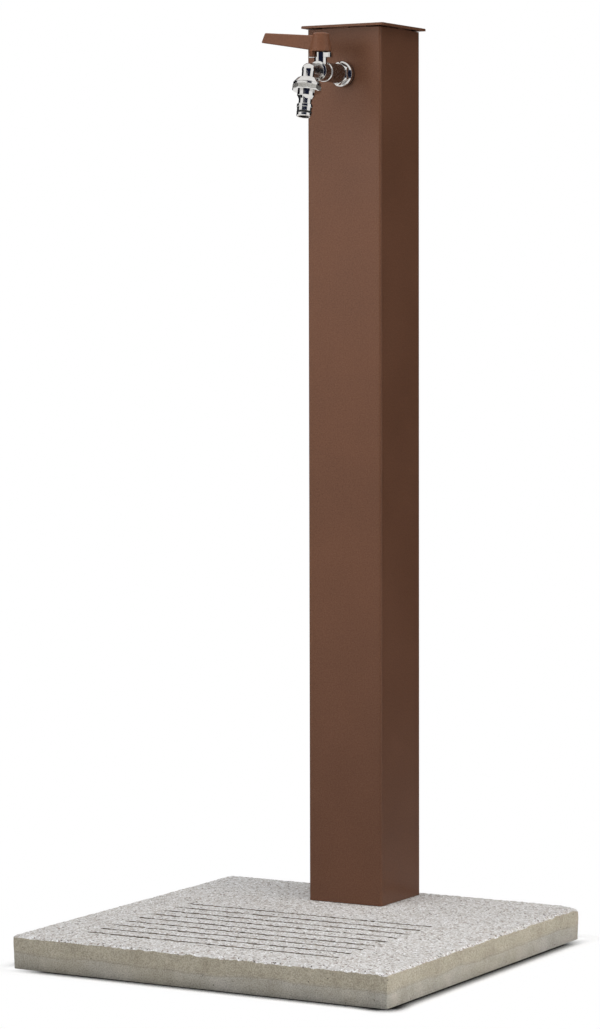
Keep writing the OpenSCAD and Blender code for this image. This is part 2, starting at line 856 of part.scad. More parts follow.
module hose_spigot() {
    color(chrome)
    at_outlet()
    rotate_extrude()
        polygon([
            [spigot_bore_r, spigot_head_s], [spigot_head_r, spigot_head_s],
            [spigot_head_r, outlet_lip_s], [spigot_collar_r, outlet_lip_s],
            [spigot_collar_r, spigot_slope_s - edge], [spigot_collar_r - edge, spigot_slope_s],
            [spigot_groove_r, spigot_groove_s], [spigot_groove_r, spigot_shoulder_s],
            [spigot_shoulder_r - fine_edge, spigot_shoulder_s],
            [spigot_shoulder_r, spigot_shoulder_s + fine_edge],
            [spigot_shoulder_r, spigot_waist_s - fine_edge], [spigot_r, spigot_waist_s],
            [spigot_r, spigot_ring_s], [ring_middle_r - o_ring_t / 2 - screw_gap, spigot_ring_s],
            [ring_middle_r - o_ring_t / 2 - screw_gap, spigot_land_s], [spigot_r, spigot_land_s],
            [spigot_r, spigot_end_s - edge], [spigot_r - edge, spigot_end_s],
            [spigot_bore_r + edge, spigot_end_s], [spigot_bore_r, spigot_end_s - edge]
        ]);
}

module spigot_o_ring() {
    color(rubber)
    at_outlet()
        translate([0, 0, spigot_ring_s + screw_gap + o_ring_t / 2])
            rotate_extrude() translate([ring_middle_r, 0]) circle(r = o_ring_t / 2);
}

// Pipe elbow: its socket looks along +Z of the frame, and its pipe end goes along the side given
module elbow(pipe_side) {
    difference() {
        union() {
            cylinder(r = socket_r, h = socket_l);
            sphere(r = pipe_socket_r + edge);
            rotate([pipe_side * 90, 0, 0]) cylinder(r = pipe_socket_r, h = pipe_socket_l);
        }
        translate([0, 0, socket_l - tail_grip - edge])
            cylinder(r = tail_r + screw_gap, h = tail_grip + edge + cut);
        cylinder(r = water_r, h = socket_l);
        sphere(r = water_r);
        rotate([pipe_side * 90, 0, 0]) cylinder(r = water_r, h = pipe_socket_l);
        rotate([pipe_side * 90, 0, 0])
            translate([0, 0, pipe_stop])
                cylinder(r = pipe_r + screw_gap, h = pipe_socket_l - pipe_stop + cut);
    }
}

module upper_elbow() {
    color(brass) at_tap() translate([0, 0, -column_w / 2]) elbow(1);
}

module lower_elbow() {
    color(brass) at_inlet() translate([0, 0, -column_w / 2]) elbow(1);
}

module riser_pipe() {
    color(copper)
    translate([column_x, column_y, pipe_foot_z])
        ring(pipe_r, pipe_r - pipe_wall, pipe_top_z - pipe_foot_z);
}

// Places of the two pipe joints, with +Z away from the elbow
module at_pipe_ends() {
    translate([column_x, column_y, tap_z - pipe_socket_l]) rotate([180, 0, 0]) children();
    translate([column_x, column_y, inlet_z + pipe_socket_l]) children();
}

module pipe_nuts() {
    color(brass)
    at_pipe_ends()
    difference() {
        translate([0, 0, -pipe_thread_l])
            sloped_nut(pipe_nut_af, pipe_nut_h, 6, pipe_nut_af / 2, edge);
        translate([0, 0, -pipe_thread_l - cut])
            cylinder(r = pipe_socket_r + screw_gap, h = pipe_nut_h - pipe_nut_lip + cut);
        translate([0, 0, -pipe_thread_l]) cylinder(r = pipe_r + screw_gap, h = pipe_nut_h + cut);
    }
}

module pipe_olives() {
    room = pipe_nut_h - pipe_nut_lip - pipe_thread_l;
    fitted = min(olive_t, room);
    color(copper)
    at_pipe_ends()
        rotate_extrude()
            polygon([
                [pipe_r + screw_gap, 0], [olive_r - edge, 0],
                [olive_r, edge], [olive_r, fitted - edge],
                [olive_r - edge, fitted], [pipe_r + screw_gap, fitted]
            ]);
}

// Inlet through the column's back
module inlet_fitting() {
    color(brass)
    at_inlet()
    difference() {
        union() {
            translate([0, 0, -tail_l]) cylinder(r = tail_r, h = tail_l + inlet_gasket_t);
            translate([0, 0, inlet_gasket_t])
                sloped_nut(inlet_af, inlet_hex_t, 6, inlet_af / 2, edge);
            translate([0, 0, inlet_gasket_t])
                cylinder(r = inlet_thread_r, h = inlet_hex_t + inlet_thread_l);
        }
        translate([0, 0, -tail_l - cut])
            cylinder(r = water_r + edge, h = tail_l + inlet_out + 2 * cut);
    }
}

module inlet_gasket() {
    color(rubber) at_inlet() ring(gasket_r - edge, tail_r + screw_gap, inlet_gasket_t);
}

module inlet_lock_washer() {
    color(steel)
    at_inlet()
        translate([0, 0, -lock_washer_d - lock_washer_t])
            ring(lock_washer_r, tail_r + screw_gap, lock_washer_t);
}

module inlet_back_nut() {
    color(brass) at_inlet() translate([0, 0, -back_nut_d - back_nut_t]) back_nut();
}

base_slab();
foot_plate();
foot_bolts();
foot_washers();
foot_nuts();
column_tube();
column_cap();
tap_gasket();
tap_inlet_body();
tap_lock_washer();
tap_back_nut();
valve_body();
seat_ring_inlet();
seat_ring_outlet();
ball();
stem();
stem_o_rings();
lever();
lever_screw();
outlet_gasket();
union_nut();
hose_spigot();
spigot_o_ring();
upper_elbow();
riser_pipe();
pipe_nuts();
pipe_olives();
lower_elbow();
inlet_fitting();
inlet_gasket();
inlet_lock_washer();
inlet_back_nut();
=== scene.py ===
# Garden tap fountain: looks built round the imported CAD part
import math
import bpy
import bmesh
from mathutils import Matrix, Vector, noise


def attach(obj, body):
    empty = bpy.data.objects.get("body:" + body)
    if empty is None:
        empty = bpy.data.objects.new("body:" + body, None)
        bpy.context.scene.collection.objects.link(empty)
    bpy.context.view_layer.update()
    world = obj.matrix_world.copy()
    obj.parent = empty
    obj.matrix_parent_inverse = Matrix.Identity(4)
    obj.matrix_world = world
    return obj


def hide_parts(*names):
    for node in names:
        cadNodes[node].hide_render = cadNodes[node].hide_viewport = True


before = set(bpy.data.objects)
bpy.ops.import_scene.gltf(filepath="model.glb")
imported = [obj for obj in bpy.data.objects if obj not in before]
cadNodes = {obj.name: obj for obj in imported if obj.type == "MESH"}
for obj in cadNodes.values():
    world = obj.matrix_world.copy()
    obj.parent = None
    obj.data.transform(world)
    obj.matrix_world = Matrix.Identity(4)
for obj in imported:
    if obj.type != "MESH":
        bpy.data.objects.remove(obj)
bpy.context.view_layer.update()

mm = 0.001
hair = 0.1  # in mm: points this near to a line count as on it
past = 1  # in mm: how far a cutting bar runs past what it cuts


# Small tools

def deselectAll():
    bpy.ops.object.select_all(action="DESELECT")


def makeActive(piece):
    deselectAll()
    piece.select_set(True)
    bpy.context.view_layer.objects.active = piece


def editMode(on):
    bpy.ops.object.mode_set(mode="EDIT" if on else "OBJECT")


def linearColour(hexCode):
    channels = [int(hexCode[i:i + 2], 16) / 255 for i in (1, 3, 5)]
    return [c / 12.92 if c <= 0.04045 else ((c + 0.055) / 1.055) ** 2.4 for c in channels] + [1.0]


def perMetre(sizeInMm):
    return 1000.0 / sizeInMm  # texture scale for a pattern of that size on Object coordinates


def spread(start, end, step):
    # even steps of about that length, without the start itself
    count = max(1, round(abs(end - start) / step))
    return [start + (end - start) * i / count for i in range(1, count + 1)]


def rename(piece, name):
    piece.name = name
    piece.data.name = name
    return piece


def addModifier(piece, kind, **settings):
    makeActive(piece)
    modifier = piece.modifiers.new(kind.lower(), kind)
    for key, value in settings.items():
        setattr(modifier, key, value)
    bpy.ops.object.modifier_apply(modifier=modifier.name)


def bevelEdges(piece, widthMm, segments, degrees):
    # rounds the edges that turn by more than these degrees
    addModifier(piece, "BEVEL", width=widthMm * mm, segments=segments, limit_method="ANGLE",
                angle_limit=math.radians(degrees))


def combine(piece, tool, operation):
    addModifier(piece, "BOOLEAN", operation=operation, solver="EXACT", object=tool)
    bpy.data.objects.remove(tool, do_unlink=True)


def smoothBy(piece, degrees):
    makeActive(piece)
    bpy.ops.object.shade_smooth_by_angle(angle=math.radians(degrees))


def crispNormals(piece, degrees):
    # long faces keep their own direction, so that plate mirrors straight bands
    smoothBy(piece, degrees)
    addModifier(piece, "WEIGHTED_NORMAL", mode="FACE_AREA", weight=100, keep_sharp=True)


def place(piece, matrix):
    piece.matrix_world = matrix
    makeActive(piece)
    bpy.ops.object.transform_apply(location=True, rotation=True, scale=True)
    return piece


def tidyNormals(piece):
    makeActive(piece)
    editMode(True)
    bpy.ops.mesh.select_all(action="SELECT")
    bpy.ops.mesh.remove_doubles(threshold=0.005 * mm)
    bpy.ops.mesh.normals_make_consistent(inside=False)
    editMode(False)


def selectWhere(piece, kind, test):
    # in edit mode; kind is "faces" or "edges"
    mesh = bmesh.from_edit_mesh(piece.data)
    for v in mesh.verts:
        v.select_set(False)
    mesh.select_flush(False)
    for element in getattr(mesh, kind):
        if test(element):
            element.select_set(True)
    bmesh.update_edit_mesh(piece.data)


def extrudeEdges(heightMm):
    bpy.ops.mesh.extrude_edges_move(TRANSFORM_OT_translate={"value": (0, 0, heightMm * mm)})


def turnedPiece(name, outline, sides=96, hollow=False, edge=0.25):
    # outline: radius and height in mm, from one end of the bar to the other
    deselectAll()
    radius, height = outline[0]
    bpy.ops.mesh.primitive_circle_add(vertices=sides, radius=radius * mm,
                                      fill_type="NOTHING" if hollow else "NGON", location=(0, 0, 0))
    piece = rename(bpy.context.object, name)
    editMode(True)
    bpy.ops.mesh.select_all(action="SELECT")
    bpy.ops.transform.translate(value=(0, 0, height * mm))
    for nextRadius, nextHeight in outline[1:] + (outline[:1] if hollow else []):
        bpy.ops.mesh.extrude_region_move(
            TRANSFORM_OT_translate={"value": (0, 0, (nextHeight - height) * mm)})
        grow = nextRadius / radius
        bpy.ops.transform.resize(value=(grow, grow, 1), center_override=(0, 0, nextHeight * mm))
        radius, height = nextRadius, nextHeight
    editMode(False)
    tidyNormals(piece)
    if edge:
        bevelEdges(piece, edge, segments=3, degrees=25)
    return piece


def cutBore(piece, radius, fromZ, toZ, matrix=Matrix(), sides=48):
    # straight round hole along the given axis
    bar = turnedPiece("bore", [(radius, fromZ), (radius, toZ)], sides=sides, edge=0)
    combine(piece, place(bar, matrix), "DIFFERENCE")


def flatBar(name, flats, height, sides, turn=0.0):
    # straight bar with flats, standing on z = 0
    deselectAll()
    bpy.ops.mesh.primitive_cylinder_add(vertices=sides, radius=flats / 2 / math.cos(math.pi / sides) * mm,
                                        depth=height * mm, location=(0, 0, 0))
    piece = rename(bpy.context.object, name)
    move = Matrix.Rotation(math.radians(turn), 4, "Z") @ Matrix.Translation((0, 0, height / 2 * mm))
    return place(piece, move)


def block(name, low, high):
    # cube primitive between two corners, in mm
    deselectAll()
    bpy.ops.mesh.primitive_cube_add(size=1, location=(0, 0, 0))
    piece = rename(bpy.context.object, name)
    centre = [(a + b) / 2 * mm for a, b in zip(low, high)]
    sizes = [(b - a) * mm for a, b in zip(low, high)]
    return place(piece, Matrix.Translation(centre) @ Matrix.Diagonal(sizes + [1]))


def addMaterials(piece, *materials):
    for material in materials:
        piece.data.materials.append(material)


def finishFaces(piece, matrix, rules):
    # rules: material, then the least and the greatest radius and height in mm along the given axis
    inverse = matrix.inverted()
    finishes = list(piece.data.materials)
    for face in piece.data.polygons:
        centre = inverse @ face.center / mm
        radius = math.hypot(centre.x, centre.y)
        for material, lowR, highR, lowZ, highZ in rules:
            if lowR <= radius <= highR and lowZ <= centre.z <= highZ:
                face.material_index = finishes.index(material)


# Materials

mixShare, mixFirst, mixSecond = 0, 6, 7  # a Mix node's sockets for colours
blended = {"data_type": "RGBA"}
multiplied = {"data_type": "RGBA", "blend_type": "MULTIPLY", mixShare: 1.0}


def setNode(tree, node, settings=None, links=None):
    # settings: the node's own properties, the stops of a ramp, or values of sockets;
    # a link comes from a socket, or from a node's first one in use
    for key, value in (settings or {}).items():
        if key == "stops":
            stops = node.color_ramp.elements
            while len(stops) < len(value):
                stops.new(0.5)
            for stop, (position, shade) in zip(stops, value):
                stop.position = position
                stop.color = linearColour(shade) if isinstance(shade, str) else [shade] * 3 + [1]
        elif isinstance(key, str) and hasattr(node, key):
            setattr(node, key, value)
        else:
            node.inputs[key].default_value = linearColour(value) if isinstance(value, str) else value
    for key, source in (links or {}).items():
        if isinstance(source, bpy.types.Node):
            source = next(socket for socket in source.outputs if socket.enabled)
        tree.links.new(source, node.inputs[key])
    return node


def addNode(tree, kind, settings=None, links=None):
    return setNode(tree, tree.nodes.new("ShaderNode" + kind), settings, links)


def newMaterial(name):
    material = bpy.data.materials.new(name)
    material.use_nodes = True
    tree = material.node_tree
    return material, tree, tree.nodes["Principled BSDF"], addNode(tree, "TexCoord").outputs["Object"]


def noiseStops(low, high):
    return [(0.3, low), (0.7, high)]  # most of a noise texture lies between 0.3 and 0.7


def paintedSteel(name, s):
    # powder coat: matt, even colour with a fine pebbled skin;
    # the pebbles are drawn coarser than the real half a millimetre, so that they show
    material, tree, shader, place3d = newMaterial(name)
    grain = addNode(tree, "TexNoise", {"Scale": perMetre(s["grainMm"]), "Detail": 2.0}, {"Vector": place3d})
    cloud = addNode(tree, "TexNoise", {"Scale": perMetre(s["cloudMm"]), "Detail": 3.0}, {"Vector": place3d})
    colour = addNode(tree, "ValToRGB", {"stops": noiseStops(s["dark"], s["light"])}, {"Fac": grain})
    shade = addNode(tree, "ValToRGB", {"stops": noiseStops(s["shade"], 1.0)}, {"Fac": cloud})
    coat = addNode(tree, "Mix", multiplied, {mixFirst: colour, mixSecond: shade})
    rough = addNode(tree, "ValToRGB", {"stops": noiseStops(
        s["roughness"] - s["spread"], s["roughness"] + s["spread"])}, {"Fac": cloud})
    bump = addNode(tree, "Bump", {"Distance": s["bumpMm"] * mm}, {"Height": grain})
    setNode(tree, shader, {"Specular IOR Level": s["specular"]},
            {"Base Color": coat, "Roughness": rough, "Normal": bump})
    return material


powderCoat = paintedSteel("powder_coated_steel_rust_brown", {
    "dark": "#644332", "light": "#75513d", "shade": 0.9, "grainMm": 1.6, "cloudMm": 90,
    "roughness": 0.36, "spread": 0.04, "specular": 0.25, "bumpMm": 0.02})
leverPaint = paintedSteel("painted_zinc_casting_rust_brown", {
    "dark": "#684431", "light": "#744e3a", "shade": 0.9, "grainMm": 2.4, "cloudMm": 30,
    "roughness": 0.4, "spread": 0.04, "specular": 0.25, "bumpMm": 0.03})


def evenFinish(name, s):
    # plate, bare metal, rubber or plastic: even colour, faint waves from polishing or moulding,
    # and a grain that is drawn coarser than the real one, so that it shows
    material, tree, shader, place3d = newMaterial(name)
    wave = addNode(tree, "TexNoise", {"Scale": perMetre(s["waveMm"]), "Detail": 3.0}, {"Vector": place3d})
    colour = addNode(tree, "ValToRGB", {"stops": noiseStops(s["dark"], s["light"])}, {"Fac": wave})
    rough = addNode(tree, "ValToRGB", {"stops": noiseStops(s["roughness"], s["roughness"] + s["spread"])},
                    {"Fac": wave})
    setNode(tree, shader, {"Metallic": s.get("metallic", 1.0)}, {"Base Color": colour, "Roughness": rough})
    if "bumpMm" in s:
        grain = addNode(tree, "TexNoise", {"Scale": perMetre(s["grainMm"]), "Detail": 2.0},
                        {"Vector": place3d})
        bump = addNode(tree, "Bump", {"Distance": s["bumpMm"] * mm}, {"Height": grain})
        setNode(tree, shader, links={"Normal": bump})
    return material


chromePlate = evenFinish("bright_chrome_plate", {
    "dark": "#cfcdca", "light": "#dfddda", "waveMm": 9, "roughness": 0.05, "spread": 0.04})
castChrome = evenFinish("chrome_plate_over_casting", {
    "dark": "#8a8683", "light": "#b2afac", "waveMm": 2.6, "roughness": 0.18, "spread": 0.1,
    "grainMm": 1.2, "bumpMm": 0.012})
# insides of the bores: painted near black and not metal, as the shade deep inside them
waterwayShade = evenFinish("bore_inside_painted_shade", {
    "dark": "#1d1915", "light": "#2c2620", "waveMm": 3, "roughness": 0.6, "spread": 0.1,
    "grainMm": 0.9, "bumpMm": 0.01, "metallic": 0.0})
satinChrome = evenFinish("satin_chrome_plate", {
    "dark": "#bebbb3", "light": "#e6e3dc", "waveMm": 1.3, "roughness": 0.3, "spread": 0.08,
    "grainMm": 0.8, "bumpMm": 0.02})
zincPlate = evenFinish("zinc_plated_steel", {
    "dark": "#8e9398", "light": "#b4b8bc", "waveMm": 4, "roughness": 0.3, "spread": 0.12,
    "grainMm": 1.0, "bumpMm": 0.01})
turnedBrass = evenFinish("turned_brass", {
    "dark": "#a98648", "light": "#c9a561", "waveMm": 5, "roughness": 0.24, "spread": 0.1,
    "grainMm": 0.9, "bumpMm": 0.01})
drawnCopper = evenFinish("drawn_copper_pipe", {
    "dark": "#9a5c3c", "light": "#c07a54", "waveMm": 14, "roughness": 0.28, "spread": 0.14,
    "grainMm": 1.2, "bumpMm": 0.01})
blackRubber = evenFinish("moulded_black_rubber", {
    "dark": "#121212", "light": "#1d1d1d", "waveMm": 3, "roughness": 0.45, "spread": 0.15,
    "grainMm": 0.6, "bumpMm": 0.01, "metallic": 0.0})
whiteSeat = evenFinish("turned_white_seat_plastic", {
    "dark": "#dedcd4", "light": "#ebe9e2", "waveMm": 3, "roughness": 0.4, "spread": 0.1,
    "grainMm": 0.6, "bumpMm": 0.01, "metallic": 0.0})

gravelTop = {"stoneMm": 2.2, "stones": [(0.0, "#6a645f"), (0.05, "#968a82"), (0.12, "#b9b1aa"), (0.24, "#cccac8"),
                                        (0.5, "#d9d8d7"), (0.75, "#e9e9ea"), (0.93, "#f2f3f4")],
             "mortar": "#bbb8b4", "mortarShares": [(0.02, 1.0), (0.1, 0.0)], "cloudMm": 70, "shade": 0.95,
             "roughness": 0.85, "specular": 0.3, "bumpMm": 0.6, "bumpStrength": 0.7}


def washedConcrete(name, s):
    # washed-out concrete: a skin of small stones of several kinds in pale mortar
    material, tree, shader, place3d = newMaterial(name)
    stones = addNode(tree, "TexVoronoi", {"Scale": perMetre(s["stoneMm"])}, {"Vector": place3d})
    kinds = addNode(tree, "SeparateColor", links={"Color": stones.outputs["Color"]})
    stoneColour = addNode(tree, "ValToRGB", {"stops": s["stones"]}, {"Fac": kinds})
    stoneColour.color_ramp.interpolation = "CONSTANT"  # every stone is of one kind
    gap = addNode(tree, "TexVoronoi", {"Scale": perMetre(s["stoneMm"]), "feature": "DISTANCE_TO_EDGE"},
                  {"Vector": place3d})
    mortarShare = addNode(tree, "ValToRGB", {"stops": s["mortarShares"]}, {"Fac": gap})
    mortared = addNode(tree, "Mix", {**blended, mixSecond: s["mortar"]},
                       {mixShare: mortarShare, mixFirst: stoneColour})
    cloud = addNode(tree, "TexNoise", {"Scale": perMetre(s["cloudMm"]), "Detail": 3.0}, {"Vector": place3d})
    shade = addNode(tree, "ValToRGB", {"stops": noiseStops(s["shade"], 1.0)}, {"Fac": cloud})
    clouded = addNode(tree, "Mix", multiplied, {mixFirst: mortared, mixSecond: shade})
    bump = addNode(tree, "Bump", {"Distance": s["bumpMm"] * mm, "Strength": s["bumpStrength"]},
                   {"Height": gap})
    setNode(tree, shader, {"Roughness": s["roughness"], "Specular IOR Level": s["specular"]},
            {"Base Color": clouded, "Normal": bump})
    return material


castFace = {"aboveDark": "#a59d8b", "aboveLight": "#bcb5a4", "belowDark": "#a09c92", "belowLight": "#bebab3",
            "blotchMm": 34, "seamFrom": 22, "seamTo": 27, "seamSway": 12, "swayMm": 70,
            "seamShades": [(0.0, 1.05), (0.3, 1.0), (0.48, 0.84), (0.66, 1.0)],
            "driftMm": 110, "driftShares": [(0.35, 0.35), (0.65, 1.0)],
            "speckMm": 1.5, "speckShades": [(0.34, 0.66), (0.6, 1.08)],
            "holeMm": 13, "holeShares": [(0.05, 1.0), (0.08, 0.0)], "hole": "#5f5b52",
            "roughness": 0.8, "specular": 0.3, "bumpMm": 0.3, "bumpStrength": 0.7}
# slots' walls: the concrete is painted dark as the shade inside the narrow slots, darkest below the seam height,
# deeper in
slotFaceShaded = {**castFace, "aboveDark": "#6f6456", "aboveLight": "#b3a796", "belowDark": "#302c27",
            "belowLight": "#4b463f", "blotchMm": 9}


def castConcrete(name, s):
    # cast face: two pours with a wavering seam between them, blotches, air holes and a sandy grain,
    # which is drawn coarser than the real sand, so that it shows
    # in the slots' walls the darker lower layer is painted shade, not a second pour
    material, tree, shader, place3d = newMaterial(name)
    axes = addNode(tree, "SeparateXYZ", links={"Vector": place3d})
    wander = addNode(tree, "TexNoise", {"Scale": perMetre(s["swayMm"]), "Detail": 3.0}, {"Vector": place3d})
    sway = addNode(tree, "Math", {"operation": "MULTIPLY", 1: s["seamSway"] * mm}, {0: wander})
    level = addNode(tree, "Math", {"operation": "ADD"}, {0: axes.outputs["Z"], 1: sway})
    upper = addNode(tree, "MapRange", {"From Min": s["seamFrom"] * mm, "From Max": s["seamTo"] * mm},
                    {"Value": level})
    seam = addNode(tree, "ValToRGB", {"stops": s["seamShades"]}, {"Fac": upper})
    blotch = addNode(tree, "TexNoise", {"Scale": perMetre(s["blotchMm"]), "Detail": 6.0, "Roughness": 0.68},
                     {"Vector": place3d})
    above = addNode(tree, "ValToRGB", {"stops": noiseStops(s["aboveDark"], s["aboveLight"])}, {"Fac": blotch})
    below = addNode(tree, "ValToRGB", {"stops": noiseStops(s["belowDark"], s["belowLight"])}, {"Fac": blotch})
    wide = addNode(tree, "TexNoise", {"Scale": perMetre(s["driftMm"]), "Detail": 2.0}, {"Vector": place3d})
    drift = addNode(tree, "ValToRGB", {"stops": s["driftShares"]}, {"Fac": wide})
    lower = addNode(tree, "Mix", blended, {mixShare: drift, mixFirst: above, mixSecond: below})
    pours = addNode(tree, "Mix", blended, {mixShare: upper, mixFirst: lower, mixSecond: above})
    sand = addNode(tree, "TexNoise", {"Scale": perMetre(s["speckMm"]), "Detail": 2.0, "Roughness": 0.6},
                   {"Vector": place3d})
    specks = addNode(tree, "ValToRGB", {"stops": s["speckShades"]}, {"Fac": sand})
    sandy = addNode(tree, "Mix", multiplied, {mixFirst: pours, mixSecond: specks})
    seamed = addNode(tree, "Mix", multiplied, {mixFirst: sandy, mixSecond: seam})
    # air holes: a dark colour painted as the shade inside the pits, with a dent in the bump
    holes = addNode(tree, "TexVoronoi", {"Scale": perMetre(s["holeMm"])}, {"Vector": place3d})
    holeShare = addNode(tree, "ValToRGB", {"stops": s["holeShares"]}, {"Fac": holes})
    holed = addNode(tree, "Mix", {**blended, mixSecond: s["hole"]}, {mixShare: holeShare, mixFirst: seamed})
    relief = addNode(tree, "Math", {"operation": "SUBTRACT"}, {0: sand, 1: holeShare})
    bump = addNode(tree, "Bump", {"Distance": s["bumpMm"] * mm, "Strength": s["bumpStrength"]},
                   {"Height": relief})
    setNode(tree, shader, {"Roughness": s["roughness"], "Specular IOR Level": s["specular"]},
            {"Base Color": holed, "Normal": bump})
    return material


washedGravel = washedConcrete("washed_gravel_concrete", gravelTop)
castSide = castConcrete("cast_concrete_side", castFace)
slotWallShaded = castConcrete("slot_concrete_painted_shade", slotFaceShaded)
print("materials done")

# Slab: washed-gravel top with crumbly drain slots, cast sides
slab = {"side": 500, "thickness": 40, "arris": 3, "arrisShare": 0.6, "cell": 3.2, "sideStep": 4.5,
        "cornerRadius": {(-1, -1): 2.5, (1, -1): 0.9, (1, 1): 4, (-1, 1): 4}, "draft": 1.2,
        "wornCorner": (250, 250), "wornReach": 24, "wornDrop": 4, "wornCurve": 1.6,
        "slots": 9, "slotLength": 340, "slotWidth": 6, "slotPitch": 28.2, "firstSlotY": -189,
        "slotMiddleX": -14, "endRound": 1.8, "slotMargin": 8, "wallFoot": 20, "wallWave": 0.7,
        "rimClosing": 0.7, "rimWave": 1.5, "rimWaveMm": 3, "rimDrift": 1.6, "rimDriftMm": 9,
        "rimDrop": 0.5, "rimDropMm": 4, "stoneMm": 3.1, "coarseMm": 9,
        "relief": 1.1, "reliefMix": (0.45, 0.5, 0.25), "crumble": 1.0, "crumbleMix": (0.35, 0.55, 0.4),
        "crumbleFrom": 30, "sideShare": 0.35, "arrisWave": 1.6, "arrisWaveMm": 6,
        "boltX": -14, "boltY": 182, "boltOffset": 34, "boltPad": 48, "recessRadius": 11,
        "recessDepth": 12, "boltHoleRadius": 4.5,
        "topSlope": 0.35, "topFrom": 30, "sideDepth": 6, "wallSlope": 0.5, "slotsEndY": 60}


def slabGrid(s):
    half, arris = s["side"] / 2, s["arris"]
    slotHalf = s["slotWidth"] / 2
    rows = [-half, arris - half]
    for i in range(s["slots"]):
        middle = s["firstSlotY"] + i * s["slotPitch"]
        rows += spread(rows[-1], middle - slotHalf, s["cell"]) + [middle, middle + slotHalf]
    rows += spread(rows[-1], half - arris, s["cell"]) + [half]
    left = s["slotMiddleX"] - s["slotLength"] / 2
    columns = [-half, arris - half]
    for end in (left, left + s["slotLength"], half - arris):
        columns += spread(columns[-1], end, s["cell"])
    columns.append(half)
    return columns, rows


def nearestSlot(s, y):
    # whether there is a slot of that number, and the distance from its middle line
    row = (y - s["firstSlotY"]) / s["slotPitch"]
    return 0 <= round(row) < s["slots"], abs(row - round(row)) * s["slotPitch"]


def inSlot(s, x, y):
    real, away = nearestSlot(s, y)
    return real and away < s["slotWidth"] / 2 and abs(x - s["slotMiddleX"]) < s["slotLength"] / 2


def gridPoint(s, x, y):
    # point of the top, pulled in to the slab's rounded corners and the slots' round ends
    half = s["side"] / 2
    z = s["thickness"] - (s["arris"] if max(abs(x), abs(y)) > half - hair else 0)
    corner = s["cornerRadius"][(1 if x > 0 else -1, 1 if y > 0 else -1)]
    cornerX, cornerY = abs(x) - (half - corner), abs(y) - (half - corner)
    if cornerX > 0 and cornerY > 0:
        reach = math.hypot(cornerX, cornerY)
        onRim = max(cornerX, cornerY) > corner - hair
        limit = corner if onRim else corner - s["arris"] * s["arrisShare"]
        if reach > limit:
            x = math.copysign(half - corner + cornerX * limit / reach, x)
            y = math.copysign(half - corner + cornerY * limit / reach, y)
    real, away = nearestSlot(s, y)
    fromMiddle = x - s["slotMiddleX"]
    if real and abs(away - s["slotWidth"] / 2) < hair and abs(abs(fromMiddle) - s["slotLength"] / 2) < hair:
        x -= math.copysign(s["endRound"], fromMiddle)
    return x * mm, y * mm, z * mm


def buildSlab(s):
    columns, rows = slabGrid(s)
    deselectAll()
    bpy.ops.mesh.primitive_grid_add(x_subdivisions=len(columns) - 1, y_subdivisions=len(rows) - 1,
                                    size=1, location=(0, 0, 0))
    piece = rename(bpy.context.object, "washed_gravel_slab")
    for v in piece.data.vertices:
        column, row = round((v.co.x + 0.5) * (len(columns) - 1)), round((v.co.y + 0.5) * (len(rows) - 1))
        v.co = gridPoint(s, columns[column], rows[row])
    editMode(True)
    selectWhere(piece, "faces", lambda face: inSlot(s, *(face.calc_center_median() / mm).xy))
    bpy.ops.mesh.delete(type="FACE")
    # walls go down from every rim in steps
    bpy.ops.mesh.select_all(action="SELECT")
    bpy.ops.mesh.region_to_loop()
    height = s["thickness"] - s["arris"]
    for level in spread(height, 0, s["sideStep"]):
        extrudeEdges(level - height)
        height = level
    bpy.ops.transform.resize(value=(1, 1, 0), center_override=(0, 0, 0))
    # underside: one flat face with the slots and the bolts' recesses left open
    bolts = [Vector(((s["boltX"] + sx * s["boltOffset"]) * mm, (s["boltY"] + sy * s["boltOffset"]) * mm, 0))
             for sx in (-1, 1) for sy in (-1, 1)]
    for centre in bolts:
        bpy.ops.mesh.primitive_circle_add(vertices=32, radius=s["recessRadius"] * mm, fill_type="NOTHING",
                                          location=centre)
    selectWhere(piece, "edges",
                lambda e: all(abs(v.co.z) < 1e-6 for v in e.verts) and len(e.link_faces) < 2)
    bpy.ops.mesh.fill(use_beauty=False)
    for centre in bolts:
        selectWhere(piece, "edges", lambda e: all(
            abs((v.co - centre).length - s["recessRadius"] * mm) < 1e-5 for v in e.verts))
        shrink = s["boltHoleRadius"] / s["recessRadius"]
        extrudeEdges(s["recessDepth"])
        extrudeEdges(0)
        bpy.ops.transform.resize(value=(shrink, shrink, 1),
                                 center_override=centre + Vector((0, 0, s["recessDepth"] * mm)))
        extrudeEdges(s["thickness"] - s["recessDepth"] - 2 * s["relief"])
        bpy.ops.mesh.edge_face_add()
    bpy.ops.mesh.select_all(action="SELECT")
    bpy.ops.mesh.normals_make_consistent(inside=False)
    editMode(False)
    return piece


def noiseAt(x, y, z, sizeMm):
    # lumps of that size, between -1 and 1; another height gives another pattern
    return noise.noise(Vector((x, y, z)) / sizeMm)


